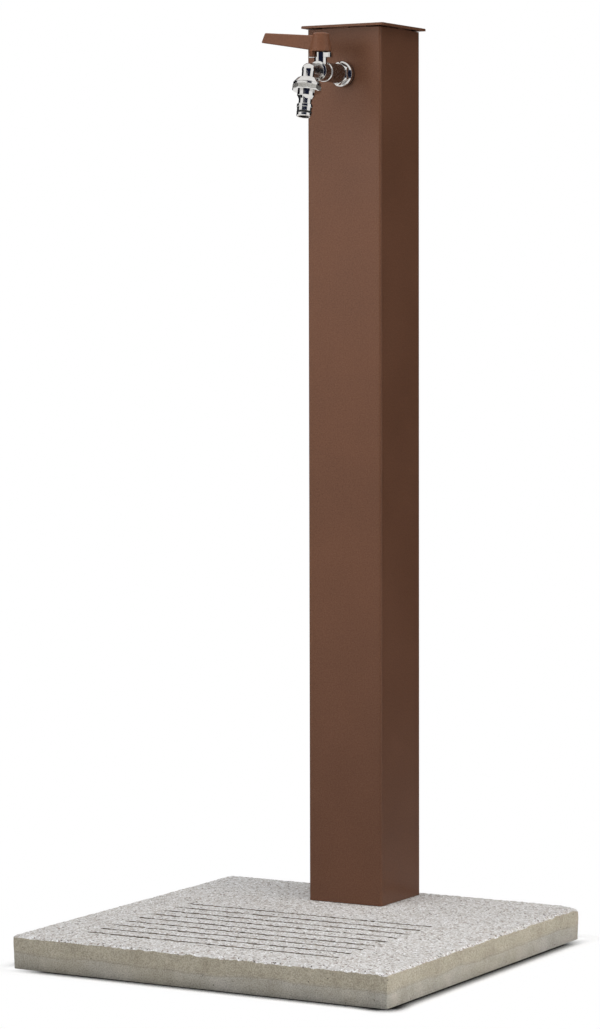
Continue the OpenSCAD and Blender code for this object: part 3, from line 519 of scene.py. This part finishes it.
def roughenSlab(piece, s):
    # relief of the washed stones, crumbled slot rims and arris, pitted sides; never outside the slab
    half, top, crumble = s["side"] / 2, s["thickness"], s["crumble"]
    even, fine, rough = s["reliefMix"]
    evenSide, fineSide, roughSide = s["crumbleMix"]
    topSkin = 0.5  # in mm: what lies this near to the top or a rim belongs to it
    arrisFoot = top - s["arris"] - topSkin
    for v in piece.data.vertices:
        x, y, z = v.co / mm
        lean = s["draft"] * (1 - z / top)
        onSide = (abs(x) > half - s["arris"] - hair, abs(y) > half - s["arris"] - hair)
        if z < 1:
            # foot of a wall: only the sides' lean
            x -= math.copysign(lean, x) if onSide[0] else 0
            y -= math.copysign(lean, y) if onSide[1] else 0
            v.co = (x * mm, y * mm, z * mm)
            continue
        atTop = z > top - topSkin
        if max(abs(x - s["boltX"]), abs(y - s["boltY"])) < s["boltPad"] and z < top - topSkin:
            continue
        stone = noiseAt(x, y, z, s["stoneMm"])
        coarse = noiseAt(x + 90, y, z, s["coarseMm"])
        toWorn = math.hypot(x - s["wornCorner"][0], y - s["wornCorner"][1])
        if z > arrisFoot and toWorn < s["wornReach"]:
            z -= s["wornDrop"] * (1 - toWorn / s["wornReach"]) ** s["wornCurve"]
        if atTop:
            z -= s["relief"] * (even + fine * stone + rough * coarse)
        if any(onSide):
            share = 1.0 if z > s["crumbleFrom"] else s["sideShare"]
            inward = crumble * (evenSide + fineSide * stone + roughSide * coarse) * share
            inward = max(0.0, inward) + lean
            x -= math.copysign(inward, x) if onSide[0] else 0
            y -= math.copysign(inward, y) if onSide[1] else 0
            if z > arrisFoot and not atTop:
                z += s["arrisWave"] * noiseAt(x, y, 40, s["arrisWaveMm"])
        elif abs(x - s["slotMiddleX"]) < s["slotLength"] / 2 + s["slotMargin"] and z > s["wallFoot"] and not atTop:
            y += s["wallWave"] * crumble * stone
        elif atTop and inSlot(s, x, y + topSkin) != inSlot(s, x, y - topSkin):
            slotMiddle = s["firstSlotY"] + round((y - s["firstSlotY"]) / s["slotPitch"]) * s["slotPitch"]
            y += (math.copysign(s["rimClosing"], slotMiddle - y)
                  + s["rimWave"] * crumble * noiseAt(x, y, 7, s["rimWaveMm"]))
            y += s["rimDrift"] * crumble * noiseAt(x, y, 90, s["rimDriftMm"])
            z -= s["rimDrop"] * crumble * max(0.0, noiseAt(x, y, 50, s["rimDropMm"]))
        v.co = (x * mm, y * mm, min(z, top) * mm)


gravelSlab = buildSlab(slab)
roughenSlab(gravelSlab, slab)
addMaterials(gravelSlab, castSide, washedGravel, slotWallShaded)
sideSlot, topSlot, wallSlot = range(3)
for face in gravelSlab.data.polygons:
    centre = face.center / mm
    onTop = face.normal.z > slab["topSlope"] and centre.z > slab["topFrom"]
    inside = max(abs(centre.x), abs(centre.y)) < slab["side"] / 2 - slab["sideDepth"]
    upright = abs(face.normal.z) < slab["wallSlope"] and centre.y < slab["slotsEndY"]
    face.material_index = topSlot if onTop else wallSlot if inside and upright else sideSlot
smoothBy(gravelSlab, 30)
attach(gravelSlab, "fountain")
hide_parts("base_slab")
print("slab done", len(gravelSlab.data.polygons))

# Tap: places along its axis are distances out from the column's front
tap = {"x": -14, "z": 1059, "frontY": 131, "stemY": 74.1, "outletY": 44.2, "tilt": 12}


def tapPlace(y, turn):
    return (Matrix.Translation((tap["x"] * mm, y * mm, tap["z"] * mm))
            @ Matrix.Rotation(math.radians(turn), 4, "X"))


alongTap = tapPlace(tap["frontY"], 90)
stemPlace = tapPlace(tap["stemY"], 0)
alongOutlet = tapPlace(tap["outletY"], 180 - tap["tilt"])

inletBody = {"tailR": 10.4, "tail": -22.8, "tailChamfer": 0.8, "flangeR": 15.4, "flangeFrom": 2, "flangeTo": 9.5,
             "flangeEdge": 0.4, "flangeSlope": 1.6, "hexFlats": 24.5, "hexTo": 16, "hexSunk": 0.8,
             "hexSlope": 2.6, "hexSlopeIn": 0.2, "hexEdge": 0.3, "neckR": 11.7, "neckTo": 47.8, "boreR": 5,
             "noseR": 9.6, "noseTo": 51.2}


def buildInletBody(s):
    piece = turnedPiece("chromed_tap_inlet", [
        (s["tailR"] - s["tailChamfer"], s["tail"]), (s["tailR"], s["tail"] + s["tailChamfer"]),
        (s["tailR"], s["flangeFrom"]), (s["flangeR"] - s["flangeEdge"], s["flangeFrom"]),
        (s["flangeR"], s["flangeFrom"] + s["flangeEdge"]), (s["flangeR"], s["flangeTo"] - s["flangeSlope"]),
        (s["flangeR"] - s["flangeSlope"], s["flangeTo"]), (s["neckR"], s["flangeTo"]),
        (s["neckR"], s["neckTo"]), (s["noseR"], s["neckTo"]), (s["noseR"], s["noseTo"])])
    hexagon = flatBar("hexagon", s["hexFlats"], s["hexTo"] - s["flangeTo"] + s["hexSunk"], 6)
    place(hexagon, Matrix.Translation((0, 0, (s["flangeTo"] - s["hexSunk"]) * mm)))
    half = s["hexFlats"] / 2
    cone = turnedPiece("cone", [
        (half + 3, s["flangeTo"] - 2), (half + 3, s["hexTo"] - s["hexSlope"]),
        (half - s["hexSlopeIn"], s["hexTo"])], edge=0)
    combine(hexagon, cone, "INTERSECT")
    bevelEdges(hexagon, s["hexEdge"], segments=2, degrees=40)
    combine(piece, hexagon, "UNION")
    cutBore(piece, s["boreR"], s["tail"] - past, s["noseTo"] + past)
    return place(piece, alongTap)


tapInlet = buildInletBody(inletBody)
addMaterials(tapInlet, chromePlate, castChrome, waterwayShade)
finishFaces(tapInlet, alongTap, [
    (castChrome, inletBody["neckR"] - 1, inletBody["neckR"] + 0.3, inletBody["hexTo"], inletBody["neckTo"] + 1),
    (waterwayShade, 0, inletBody["boreR"] + 0.2, inletBody["tail"], inletBody["noseTo"] + 1)])
crispNormals(tapInlet, 32)
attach(tapInlet, "fountain")
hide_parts("tap_inlet_body")

valve = {"beadFrom": 47.8, "beadRise": 0.6, "beadTop": 1.4, "chamberR": 11.25, "beadR": 12.1,
         "chamberFrom": 49.8, "chamberTo": 64, "spoutR": 9.2, "spoutFrom": 66, "bendAt": 86.8, "bendR": 8.1,
         "endR": 7.9, "neckR": 8, "neckTop": 23, "stopR": 14.7, "stopTop": 22.2, "stopHeight": 5.8,
         "stopShare": 0.34, "stopEdge": 0.9, "dropR": 7.7, "dropEdge": 0.4, "coneFrom": 10.6, "coneTopR": 12,
         "coneFootR": 16.8, "coneTo": 17.6, "coneEdge": 0.8, "threadR": 13.1, "threadTo": 21.95,
         "boreR": 5, "outletBoreR": 5.4, "outletBoreFrom": -2.5, "ballR": 8.65, "ballTo": 65.5,
         "stemBoreR": 4.06, "pocketR": 5.55, "pocketTop": 11.5, "socketR": 9.65, "socketTo": 51.25}


def buildValve(s):
    chamber = turnedPiece("chromed_valve_body", [
        (s["chamberR"], s["beadFrom"]), (s["beadR"], s["beadFrom"] + s["beadRise"]),
        (s["beadR"], s["beadFrom"] + s["beadTop"]), (s["chamberR"], s["chamberFrom"]),
        (s["chamberR"], s["chamberTo"]), (s["beadR"], s["chamberTo"] + s["beadRise"]),
        (s["beadR"], s["chamberTo"] + s["beadTop"]), (s["spoutR"], s["spoutFrom"]),
        (s["endR"], s["bendAt"])], edge=0.3)
    place(chamber, alongTap)
    deselectAll()
    bpy.ops.mesh.primitive_uv_sphere_add(segments=96, ring_count=48, radius=s["bendR"] * mm, location=(0, 0, 0))
    bend = rename(bpy.context.object, "bend")
    outlet = turnedPiece("outlet", [
        (s["dropR"], 0), (s["dropR"], s["coneFrom"] - s["dropEdge"]),
        (s["coneTopR"] - s["coneEdge"], s["coneFrom"]), (s["coneTopR"], s["coneFrom"] + s["dropEdge"]),
        (s["coneFootR"], s["coneTo"] - s["coneEdge"]), (s["coneFootR"], s["coneTo"]),
        (s["threadR"], s["coneTo"]), (s["threadR"], s["threadTo"])])
    neck = turnedPiece("neck", [(s["neckR"], 0), (s["neckR"], s["neckTop"])], edge=0.4)
    for part, matrix in ((bend, alongOutlet), (outlet, alongOutlet), (neck, stemPlace)):
        combine(chamber, place(part, matrix), "UNION")
    for turn in (math.pi, 0):
        # stop of the lever, a sector beside the neck
        stopFoot = s["stopTop"] - s["stopHeight"]
        stop = turnedPiece("stop", [(s["stopR"], stopFoot), (s["stopR"], s["stopTop"])], edge=0)
        halfWidth = s["stopR"] * s["stopShare"]
        wedge = block("wedge", (0, -halfWidth, 0), (s["stopR"] + 2, halfWidth, s["neckTop"] + 5))
        combine(stop, wedge, "INTERSECT")
        bevelEdges(stop, s["stopEdge"], segments=4, degrees=40)
        place(stop, Matrix.Rotation(turn, 4, "Z"))
        combine(chamber, place(stop, stemPlace), "UNION")
    for matrix, radius, start, end in (
            (alongTap, s["socketR"], s["beadFrom"] - past, s["socketTo"]),
            (alongTap, s["ballR"], s["beadFrom"] - past, s["ballTo"]),
            (alongTap, s["boreR"], s["beadFrom"] - past, s["bendAt"]),
            (alongOutlet, s["outletBoreR"], s["outletBoreFrom"], s["threadTo"] + past),
            (stemPlace, s["pocketR"], 0, s["pocketTop"]),
            (stemPlace, s["stemBoreR"], 0, s["neckTop"] + past)):
        cutBore(chamber, radius, start, end, matrix)
    return chamber


valveBody = buildValve(valve)
addMaterials(valveBody, chromePlate, castChrome, waterwayShade)
finishFaces(valveBody, alongTap, [
    (castChrome, valve["chamberR"] - 0.4, valve["chamberR"] + 0.2, valve["chamberFrom"] + 0.3,
     valve["chamberTo"] - 0.1),
    (castChrome, valve["endR"] - 0.2, valve["spoutR"] + 0.3, valve["spoutFrom"] + 0.2, valve["bendAt"] - 3)])
finishFaces(valveBody, alongOutlet, [(waterwayShade, 0, valve["outletBoreR"] + 0.2, -1, valve["threadTo"] - 0.5)])
crispNormals(valveBody, 32)
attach(valveBody, "fountain")
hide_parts("valve_body")
print("tap body done", len(valveBody.data.polygons))

# Union nut: ten satin flats between a bright turned band and a bright slope
unionNut = {"flats": 34.4, "from": 17.75, "height": 8.9, "sides": 10, "turn": 5, "band": 2.3, "bandIn": 0.5,
            "bandSlope": 0.8, "slope": 0.8, "clear": 0.95, "edge": 0.25, "flatBand": 1.2, "flatNormal": 0.98,
            "threadR": 13.15, "lipFrom": 24.85, "collarR": 10.65}


def buildUnionNut(s):
    nut = flatBar("satin_union_nut", s["flats"], s["height"], s["sides"], s["turn"])
    half = s["flats"] / 2
    cone = turnedPiece("cone", [
        (half - s["bandIn"], -0.05), (half - s["bandIn"], s["band"]),
        (half + s["clear"], s["band"] + s["bandSlope"]),
        (half + s["clear"], s["height"] - s["slope"] - s["clear"]),
        (half - s["slope"], s["height"] + 0.05)], edge=0)
    combine(nut, cone, "INTERSECT")
    bevelEdges(nut, s["edge"], segments=2, degrees=28)
    place(nut, Matrix.Translation((0, 0, s["from"] * mm)))
    cutBore(nut, s["threadR"], s["from"] - past, s["lipFrom"], sides=96)
    cutBore(nut, s["collarR"], s["from"], s["from"] + s["height"] + past, sides=96)
    addMaterials(nut, chromePlate, satinChrome)
    for face in nut.data.polygons:
        upright = math.hypot(face.normal.x, face.normal.y) > s["flatNormal"]
        wide = math.hypot(face.center.x, face.center.y) > (half - s["flatBand"]) * mm
        low = face.center.z > (s["from"] + s["band"] + 0.2) * mm
        face.material_index = 1 if upright and wide and low else 0
    return place(nut, alongOutlet)


nutPiece = buildUnionNut(unionNut)
crispNormals(nutPiece, 25)
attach(nutPiece, "fountain")
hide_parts("union_nut")

# Hose spigot with a groove, a waist and a rounded lip
spigot = {"boreR": 5.2, "headR": 12.7, "headFrom": 23.25, "lip": 24.85, "collarR": 10.6, "slopeAt": 33.35,
          "grooveR": 8.1, "grooveAt": 36.75, "shoulderAt": 42.95, "shoulderR": 9.7, "waistAt": 47.05,
          "landR": 9.1, "ringAt": 51.55, "landAt": 54.05, "endAt": 57.95, "ringSeatR": 6.9, "edge": 0.8,
          "endCurve": ((0, 1.3), (0.7, 0.5), (1.7, 0)), "mouthR": 6.3, "mouthEdge": (0.2, 0.3),
          "mouthDepth": 2.4, "mouthCone": 0.9}


def buildSpigot(s):
    e = s["edge"]
    outline = [
        (s["boreR"], s["headFrom"]), (s["headR"], s["headFrom"]), (s["headR"], s["lip"]),
        (s["collarR"], s["lip"]), (s["collarR"], s["slopeAt"] - e), (s["collarR"] - e, s["slopeAt"]),
        (s["grooveR"], s["grooveAt"]), (s["grooveR"], s["shoulderAt"]),
        (s["shoulderR"] - e / 2, s["shoulderAt"]), (s["shoulderR"], s["shoulderAt"] + e / 2),
        (s["shoulderR"], s["waistAt"] - e / 2), (s["landR"], s["waistAt"]), (s["landR"], s["ringAt"]),
        (s["ringSeatR"], s["ringAt"]), (s["ringSeatR"], s["landAt"]), (s["landR"], s["landAt"])]
    outline += [(s["landR"] - inward * e, s["endAt"] - back * e) for inward, back in s["endCurve"]]
    outline += [
        (s["mouthR"] + s["mouthEdge"][0], s["endAt"]), (s["mouthR"], s["endAt"] - s["mouthEdge"][1]),
        (s["mouthR"], s["endAt"] - s["mouthDepth"]),
        (s["boreR"], s["endAt"] - s["mouthDepth"] - s["mouthCone"])]
    return place(turnedPiece("chromed_hose_spigot", outline, hollow=True), alongOutlet)


hoseSpigot = buildSpigot(spigot)
addMaterials(hoseSpigot, chromePlate, waterwayShade, satinChrome)
finishFaces(hoseSpigot, alongOutlet, [
    (waterwayShade, 0, spigot["boreR"] + 0.2, 0, spigot["endAt"] - 1),
    (waterwayShade, 0, spigot["mouthR"], spigot["landAt"] + 0.2, spigot["endAt"] - 0.4),
    (satinChrome, spigot["mouthR"], spigot["landR"] - 0.6, spigot["endAt"] - 0.1, spigot["endAt"] + 0.1)])
crispNormals(hoseSpigot, 32)
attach(hoseSpigot, "fountain")
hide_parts("hose_spigot")

# Black ring, in the spigot's seat
ring = {"radius": 8.15, "thickness": 2.4, "inSeat": 1.25}
deselectAll()
bpy.ops.mesh.primitive_torus_add(major_segments=96, minor_segments=24, major_radius=ring["radius"] * mm,
                                 minor_radius=ring["thickness"] / 2 * mm, location=(0, 0, 0))
blackRing = rename(bpy.context.object, "black_spigot_ring")
place(blackRing, alongOutlet @ Matrix.Translation((0, 0, (spigot["ringAt"] + ring["inSeat"]) * mm)))
addMaterials(blackRing, blackRubber)
smoothBy(blackRing, 60)
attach(blackRing, "fountain")
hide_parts("spigot_o_ring")
print("nut and spigot done")

# Lever: one zinc casting, so hub, skirt tab and arm run into each other with small fillets
lever = {"foot": 23.5, "hubHeight": 22.6, "footR": 13.4, "footEdge": 0.4, "topR": 9.9, "topEdge": 1.2,
         "recessR": 7.5, "recessDepth": 6, "screwHoleR": 2.6,
         "length": 80, "rootWidth": 15.5, "tipWidth": 12, "rootFoot": 23.7, "rootTop": 42.5,
         "tipFoot": 37.1, "tipTop": 48.9, "slant": 5.2, "armEdge": 1.2, "wall": 2.4, "openBelow": 8,
         "skirtR": 14.2, "skirtInnerR": 8.5, "skirtHeight": 6.2, "skirtSunk": 1.2, "skirtFrom": 201.95,
         "skirtSpan": 46.1, "stemHoleR": 4.05, "stemHoleTop": 37.3, "voxel": 0.42, "smoothing": 4}


def taperedArm(s, inset, drop):
    # bar from the stem's axis to the tip: a cube whose two ends are set to size
    arm = block("arm", (-1, -1, -1), (0, 1, 1))
    for v in arm.data.vertices:
        tip, top = v.co.x < -0.5 * mm, v.co.z > 0
        width = (s["tipWidth"] if tip else s["rootWidth"]) / 2 - inset
        if tip:
            x = -s["length"] + (s["slant"] if top else 0) + inset
            z = s["tipTop"] - inset if top else s["tipFoot"] + inset - drop
        else:
            x = -s["footR"] if inset else 0
            z = s["rootTop"] - inset if top else s["rootFoot"] + inset - drop
        v.co = (x * mm, math.copysign(width, v.co.y) * mm, z * mm)
    return arm


def buildLever(s):
    top = s["foot"] + s["hubHeight"]
    hub = turnedPiece("cast_lever", [
        (s["footR"] - s["footEdge"], s["foot"]), (s["footR"], s["foot"] + s["footEdge"]),
        (s["topR"], top - s["topEdge"]), (s["topR"] - s["topEdge"], top)], edge=0.4)
    arm = taperedArm(s, 0, 0)
    bevelEdges(arm, s["armEdge"], segments=3, degrees=40)
    combine(hub, arm, "UNION")
    # skirt tab: a ring cut down to a wedge from the stem's axis
    skirtFoot, skirtTop = s["foot"] - s["skirtHeight"], s["foot"] + s["skirtSunk"]
    skirt = turnedPiece("skirt", [
        (s["skirtInnerR"], skirtFoot), (s["skirtR"], skirtFoot), (s["skirtR"], skirtTop),
        (s["skirtInnerR"], skirtTop)], hollow=True, edge=0)
    span, reach = math.radians(s["skirtSpan"]), 20
    wedge = block("wedge", (0, -1, s["foot"] - 10), (reach, 1, s["foot"] + 5))
    for v in wedge.data.vertices:
        outer = v.co.x > reach / 2 * mm
        v.co.y = math.copysign(math.tan(span / 2) * reach * mm, v.co.y) if outer else 0
    tidyNormals(wedge)
    place(wedge, Matrix.Rotation(math.radians(s["skirtFrom"]) + span / 2, 4, "Z"))
    combine(skirt, wedge, "INTERSECT")
    combine(hub, skirt, "UNION")
    combine(hub, taperedArm(s, s["wall"], s["openBelow"]), "DIFFERENCE")
    for radius, start, end in ((s["recessR"], top - s["recessDepth"], top + 4),
                               (s["stemHoleR"], s["foot"] - past, s["stemHoleTop"]),
                               (s["screwHoleR"], s["foot"], top)):
        cutBore(hub, radius, start, end)
    addModifier(hub, "REMESH", mode="VOXEL", voxel_size=s["voxel"] * mm)
    addModifier(hub, "SMOOTH", factor=0.5, iterations=s["smoothing"])
    return place(hub, stemPlace)


leverCasting = buildLever(lever)
addMaterials(leverCasting, leverPaint)
smoothBy(leverCasting, 60)
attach(leverCasting, "handle")
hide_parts("lever")
print("lever done", len(leverCasting.data.polygons))

# CAD nodes that stay as they are get their real finish
nodeFinishes = {
    powderCoat: ["column_tube", "column_cap"],
    zincPlate: ["foot_plate", "foot_bolts", "foot_washers", "foot_nuts", "tap_lock_washer",
                "inlet_lock_washer", "lever_screw"],
    turnedBrass: ["tap_back_nut", "stem", "upper_elbow", "lower_elbow", "pipe_nuts", "inlet_fitting",
                  "inlet_back_nut"],
    blackRubber: ["tap_gasket", "stem_o_rings", "outlet_gasket", "inlet_gasket"],
    whiteSeat: ["seat_ring_inlet", "seat_ring_outlet"],
    drawnCopper: ["riser_pipe", "pipe_olives"],
    chromePlate: ["ball"]}
for material, names in nodeFinishes.items():
    for name in names:
        slots = cadNodes[name].material_slots
        if slots:
            for slot in slots:
                slot.material = material
        else:
            addMaterials(cadNodes[name], material)
print("node finishes done")

# Studio: pale floor, soft lamps, dark cards that only the bright metal shows
studio = {"cameraPlace": (2.0217, -3.5449, 0.7546), "cameraTurn": (86.822, 0.136, 29.715), "lens": 119.83,
          "sensor": 36, "clipEnd": 60, "backgroundLight": "#959698",
          # shadowFrom to clearCorners: the floor's painted contact shadow, and where it fades into the background
          "floorRadius": 1.2, "shadowFrom": 13, "shadowTo": 32, "contact": 23,
          "contactShades": [(0.5, "#121212"), (0.66, "#2c2c2c"), (0.85, "#c4c4c4"), (0.97, "#fafafa")],
          "nearCorner": {"place": (250, -250), "from": 0, "to": 42, "amount": -0.14},
          "clearCorners": ({"place": (-250, -250), "from": 4, "to": 46, "amount": 1.0},
                           {"place": (250, 250), "from": 4, "to": 46, "amount": 1.0}),
          "cardRadius": 4.7, "cardFade": 7, "cardEdge": "#8d9097",
          "cards": ({"from": -46, "to": 41, "foot": -1.5, "top": 3.4, "shade": "#1b2136"},
                    {"from": 92, "to": 264, "foot": -0.9, "top": 3.4, "shade": "#15171b"},
                    {"from": -97, "to": -56, "foot": -1.5, "top": 0.15, "shade": "#15171b"})}

cameraData = bpy.data.cameras.new("camera")
cameraData.lens = studio["lens"]
cameraData.sensor_width = studio["sensor"]
cameraData.clip_end = studio["clipEnd"]
camera = bpy.data.objects.new("camera", cameraData)
camera.location = studio["cameraPlace"]
camera.rotation_euler = [math.radians(a) for a in studio["cameraTurn"]]
bpy.context.scene.collection.objects.link(camera)
bpy.context.scene.camera = camera


def seenAsBackground(tree):
    # 1 for what is seen straight, in a mirror or through glass, and 0 for what only lights
    rays = addNode(tree, "LightPath")
    seen = addNode(tree, "Math", {"operation": "MAXIMUM"},
                   {0: rays.outputs["Is Camera Ray"], 1: rays.outputs["Is Glossy Ray"]})
    return addNode(tree, "Math", {"operation": "MAXIMUM"}, {0: seen, 1: rays.outputs["Is Transmission Ray"]})


def roundCorner(tree, place3d, corner):
    # the corner's amount up to its first distance, and nothing from its second one on
    x, y = corner["place"]
    distance = addNode(tree, "VectorMath", {"operation": "DISTANCE", 1: (x * mm, y * mm, 0)}, {0: place3d})
    return addNode(tree, "MapRange", {"From Min": corner["from"] * mm, "From Max": corner["to"] * mm,
                                      "To Min": corner["amount"], "To Max": 0.0},
                   {"Value": distance})


def floorMaterial(s):
    # matt white paper whose colour is darkened by ambient occlusion next to the slab, a painted contact shadow
    # over the real one, and which turns into the white background further out
    material, tree, shader, place3d = newMaterial("white_paper_floor")
    sides = addNode(tree, "VectorMath", {"operation": "ABSOLUTE"}, {0: place3d})
    beyond = addNode(tree, "VectorMath", {"operation": "SUBTRACT", 1: [slab["side"] / 2 * mm] * 2 + [0]},
                     {0: sides})
    outside = addNode(tree, "VectorMath", {"operation": "MAXIMUM", 1: (0, 0, 0)}, {0: beyond})
    away = addNode(tree, "VectorMath", {"operation": "LENGTH"}, {0: outside})
    clearing = addNode(tree, "MapRange", {"From Min": s["shadowFrom"] * mm, "From Max": s["shadowTo"] * mm},
                       {"Value": away})
    nearby = addNode(tree, "AmbientOcclusion", {"Distance": s["contact"] * mm, "samples": 8})
    # an outer corner hides less of the floor than a side does, so the painted shadow at the near one is deepened
    deepening = roundCorner(tree, place3d, s["nearCorner"])
    hidden = addNode(tree, "Math", {"operation": "ADD"}, {0: nearby.outputs["AO"], 1: deepening})
    contact = addNode(tree, "ValToRGB", {"stops": s["contactShades"]}, {"Fac": hidden})
    setNode(tree, shader, {"Roughness": 0.9, "Specular IOR Level": 0.0}, {"Base Color": contact})
    # near two side corners the floor glows white as the background, which paints the shadow out there
    for corner in s["clearCorners"]:
        clearing = addNode(tree, "Math", {"operation": "MAXIMUM"},
                           {0: clearing, 1: roundCorner(tree, place3d, corner)})
    share = addNode(tree, "Math", {"operation": "MULTIPLY"}, {0: seenAsBackground(tree), 1: clearing})
    glow = addNode(tree, "Emission", {"Color": "#ffffff", "Strength": 1.0})
    mix = addNode(tree, "MixShader", links={0: share, 1: shader, 2: glow})
    setNode(tree, tree.nodes["Material Output"], links={"Surface": mix})
    return material


deselectAll()
bpy.ops.mesh.primitive_circle_add(vertices=96, radius=studio["floorRadius"], fill_type="NGON", location=(0, 0, 0))
floor = rename(bpy.context.object, "studio_floor")
addMaterials(floor, floorMaterial(studio))
floor.visible_glossy = False

facing = math.degrees(math.atan2(studio["cameraPlace"][1], studio["cameraPlace"][0]))


def offCard(face, s):
    # angles run from the camera's side, to the right as the camera sees it
    centre = face.calc_center_median()
    angle = (math.degrees(math.atan2(centre.y, centre.x)) - facing - s["from"]) % 360 + s["from"]
    return not s["from"] <= angle <= s["to"]


def cardMaterial(name, s, radius):
    # unlit card that pales towards its two upright edges
    material, tree, shader, place3d = newMaterial(name)
    middle = math.radians(facing + (s["from"] + s["to"]) / 2)
    along = addNode(tree, "VectorMath", {
        "operation": "DOT_PRODUCT", 1: (math.cos(middle) / radius, math.sin(middle) / radius, 0)}, {0: place3d})
    reach = (s["to"] - s["from"]) / 2
    inner = addNode(tree, "MapRange", {"From Min": math.cos(math.radians(reach)),
                                       "From Max": math.cos(math.radians(reach - studio["cardFade"]))},
                    {"Value": along})
    shade = addNode(tree, "Mix", {**blended, mixFirst: studio["cardEdge"], mixSecond: s["shade"]},
                    {mixShare: inner})
    setNode(tree, shader, {"Base Color": "#000000", "Specular IOR Level": 0.0, "Emission Strength": 1.0},
            {"Emission Color": shade})
    return material


for number, cardSettings in enumerate(studio["cards"], 1):
    foot, top = cardSettings["foot"], cardSettings["top"]
    deselectAll()
    bpy.ops.mesh.primitive_cylinder_add(vertices=120, radius=studio["cardRadius"], end_fill_type="NOTHING",
                                        depth=top - foot, location=(0, 0, (top + foot) / 2))
    card = rename(bpy.context.object, f"studio_card_{number}")
    bpy.ops.object.transform_apply(location=True)
    editMode(True)
    selectWhere(card, "faces", lambda face: offCard(face, cardSettings))
    bpy.ops.mesh.delete(type="FACE")
    editMode(False)
    addMaterials(card, cardMaterial(f"studio_card_shade_{number}", cardSettings, studio["cardRadius"]))
    for ray in ("camera", "diffuse", "transmission", "shadow", "volume_scatter"):
        setattr(card, "visible_" + ray, False)

lamps = {"overheadLamp": {"place": (0.25, -0.5, 3.1), "aim": (0, 0, 0.3), "size": (2.2, 2.2), "spread": 180,
                          "watts": 65, "tint": "#ffffff"},
         "frontLamp": {"place": (-0.4, -0.95, 1.1), "aim": (0, 0.13, 0.82), "size": (0.6, 0.6), "spread": 110,
                       "watts": 2.35, "tint": "#ffffff"},
         "rightLamp": {"place": (1.8, -0.3, 1.6), "aim": (0, 0.15, 1.0), "size": (1.0, 1.0), "spread": 180,
                       "watts": 4.2, "tint": "#ffdfb4"},
         "lowRightLamp": {"place": (0.9, -0.06, 0.17), "aim": (0.25, -0.01, 0), "size": (0.7, 0.06),
                          "spread": 26, "watts": 0.14, "tint": "#ffffff"}}
for name, s in lamps.items():
    lampData = bpy.data.lights.new(name, "AREA")
    lampData.shape = "RECTANGLE"
    lampData.size, lampData.size_y = s["size"]
    lampData.energy = s["watts"]
    lampData.color = linearColour(s["tint"])[:3]
    lampData.spread = math.radians(s["spread"])
    lamp = bpy.data.objects.new(name, lampData)
    lamp.location = s["place"]
    lamp.rotation_euler = (Vector(s["aim"]) - Vector(s["place"])).to_track_quat("-Z", "Y").to_euler()
    lamp.visible_camera = False
    lamp.visible_glossy = False
    bpy.context.scene.collection.objects.link(lamp)

# World: white to look at, and a plain grey light on the object
world = bpy.data.worlds.new("studio_world")
bpy.context.scene.world = world
world.use_nodes = True
tree = world.node_tree
tint = addNode(tree, "Mix", {**blended, mixFirst: studio["backgroundLight"], mixSecond: "#ffffff"},
               {mixShare: seenAsBackground(tree)})
setNode(tree, tree.nodes["Background"], {"Strength": 1.0}, {"Color": tint})
bpy.context.scene.view_settings.view_transform = "Standard"
print("studio done")
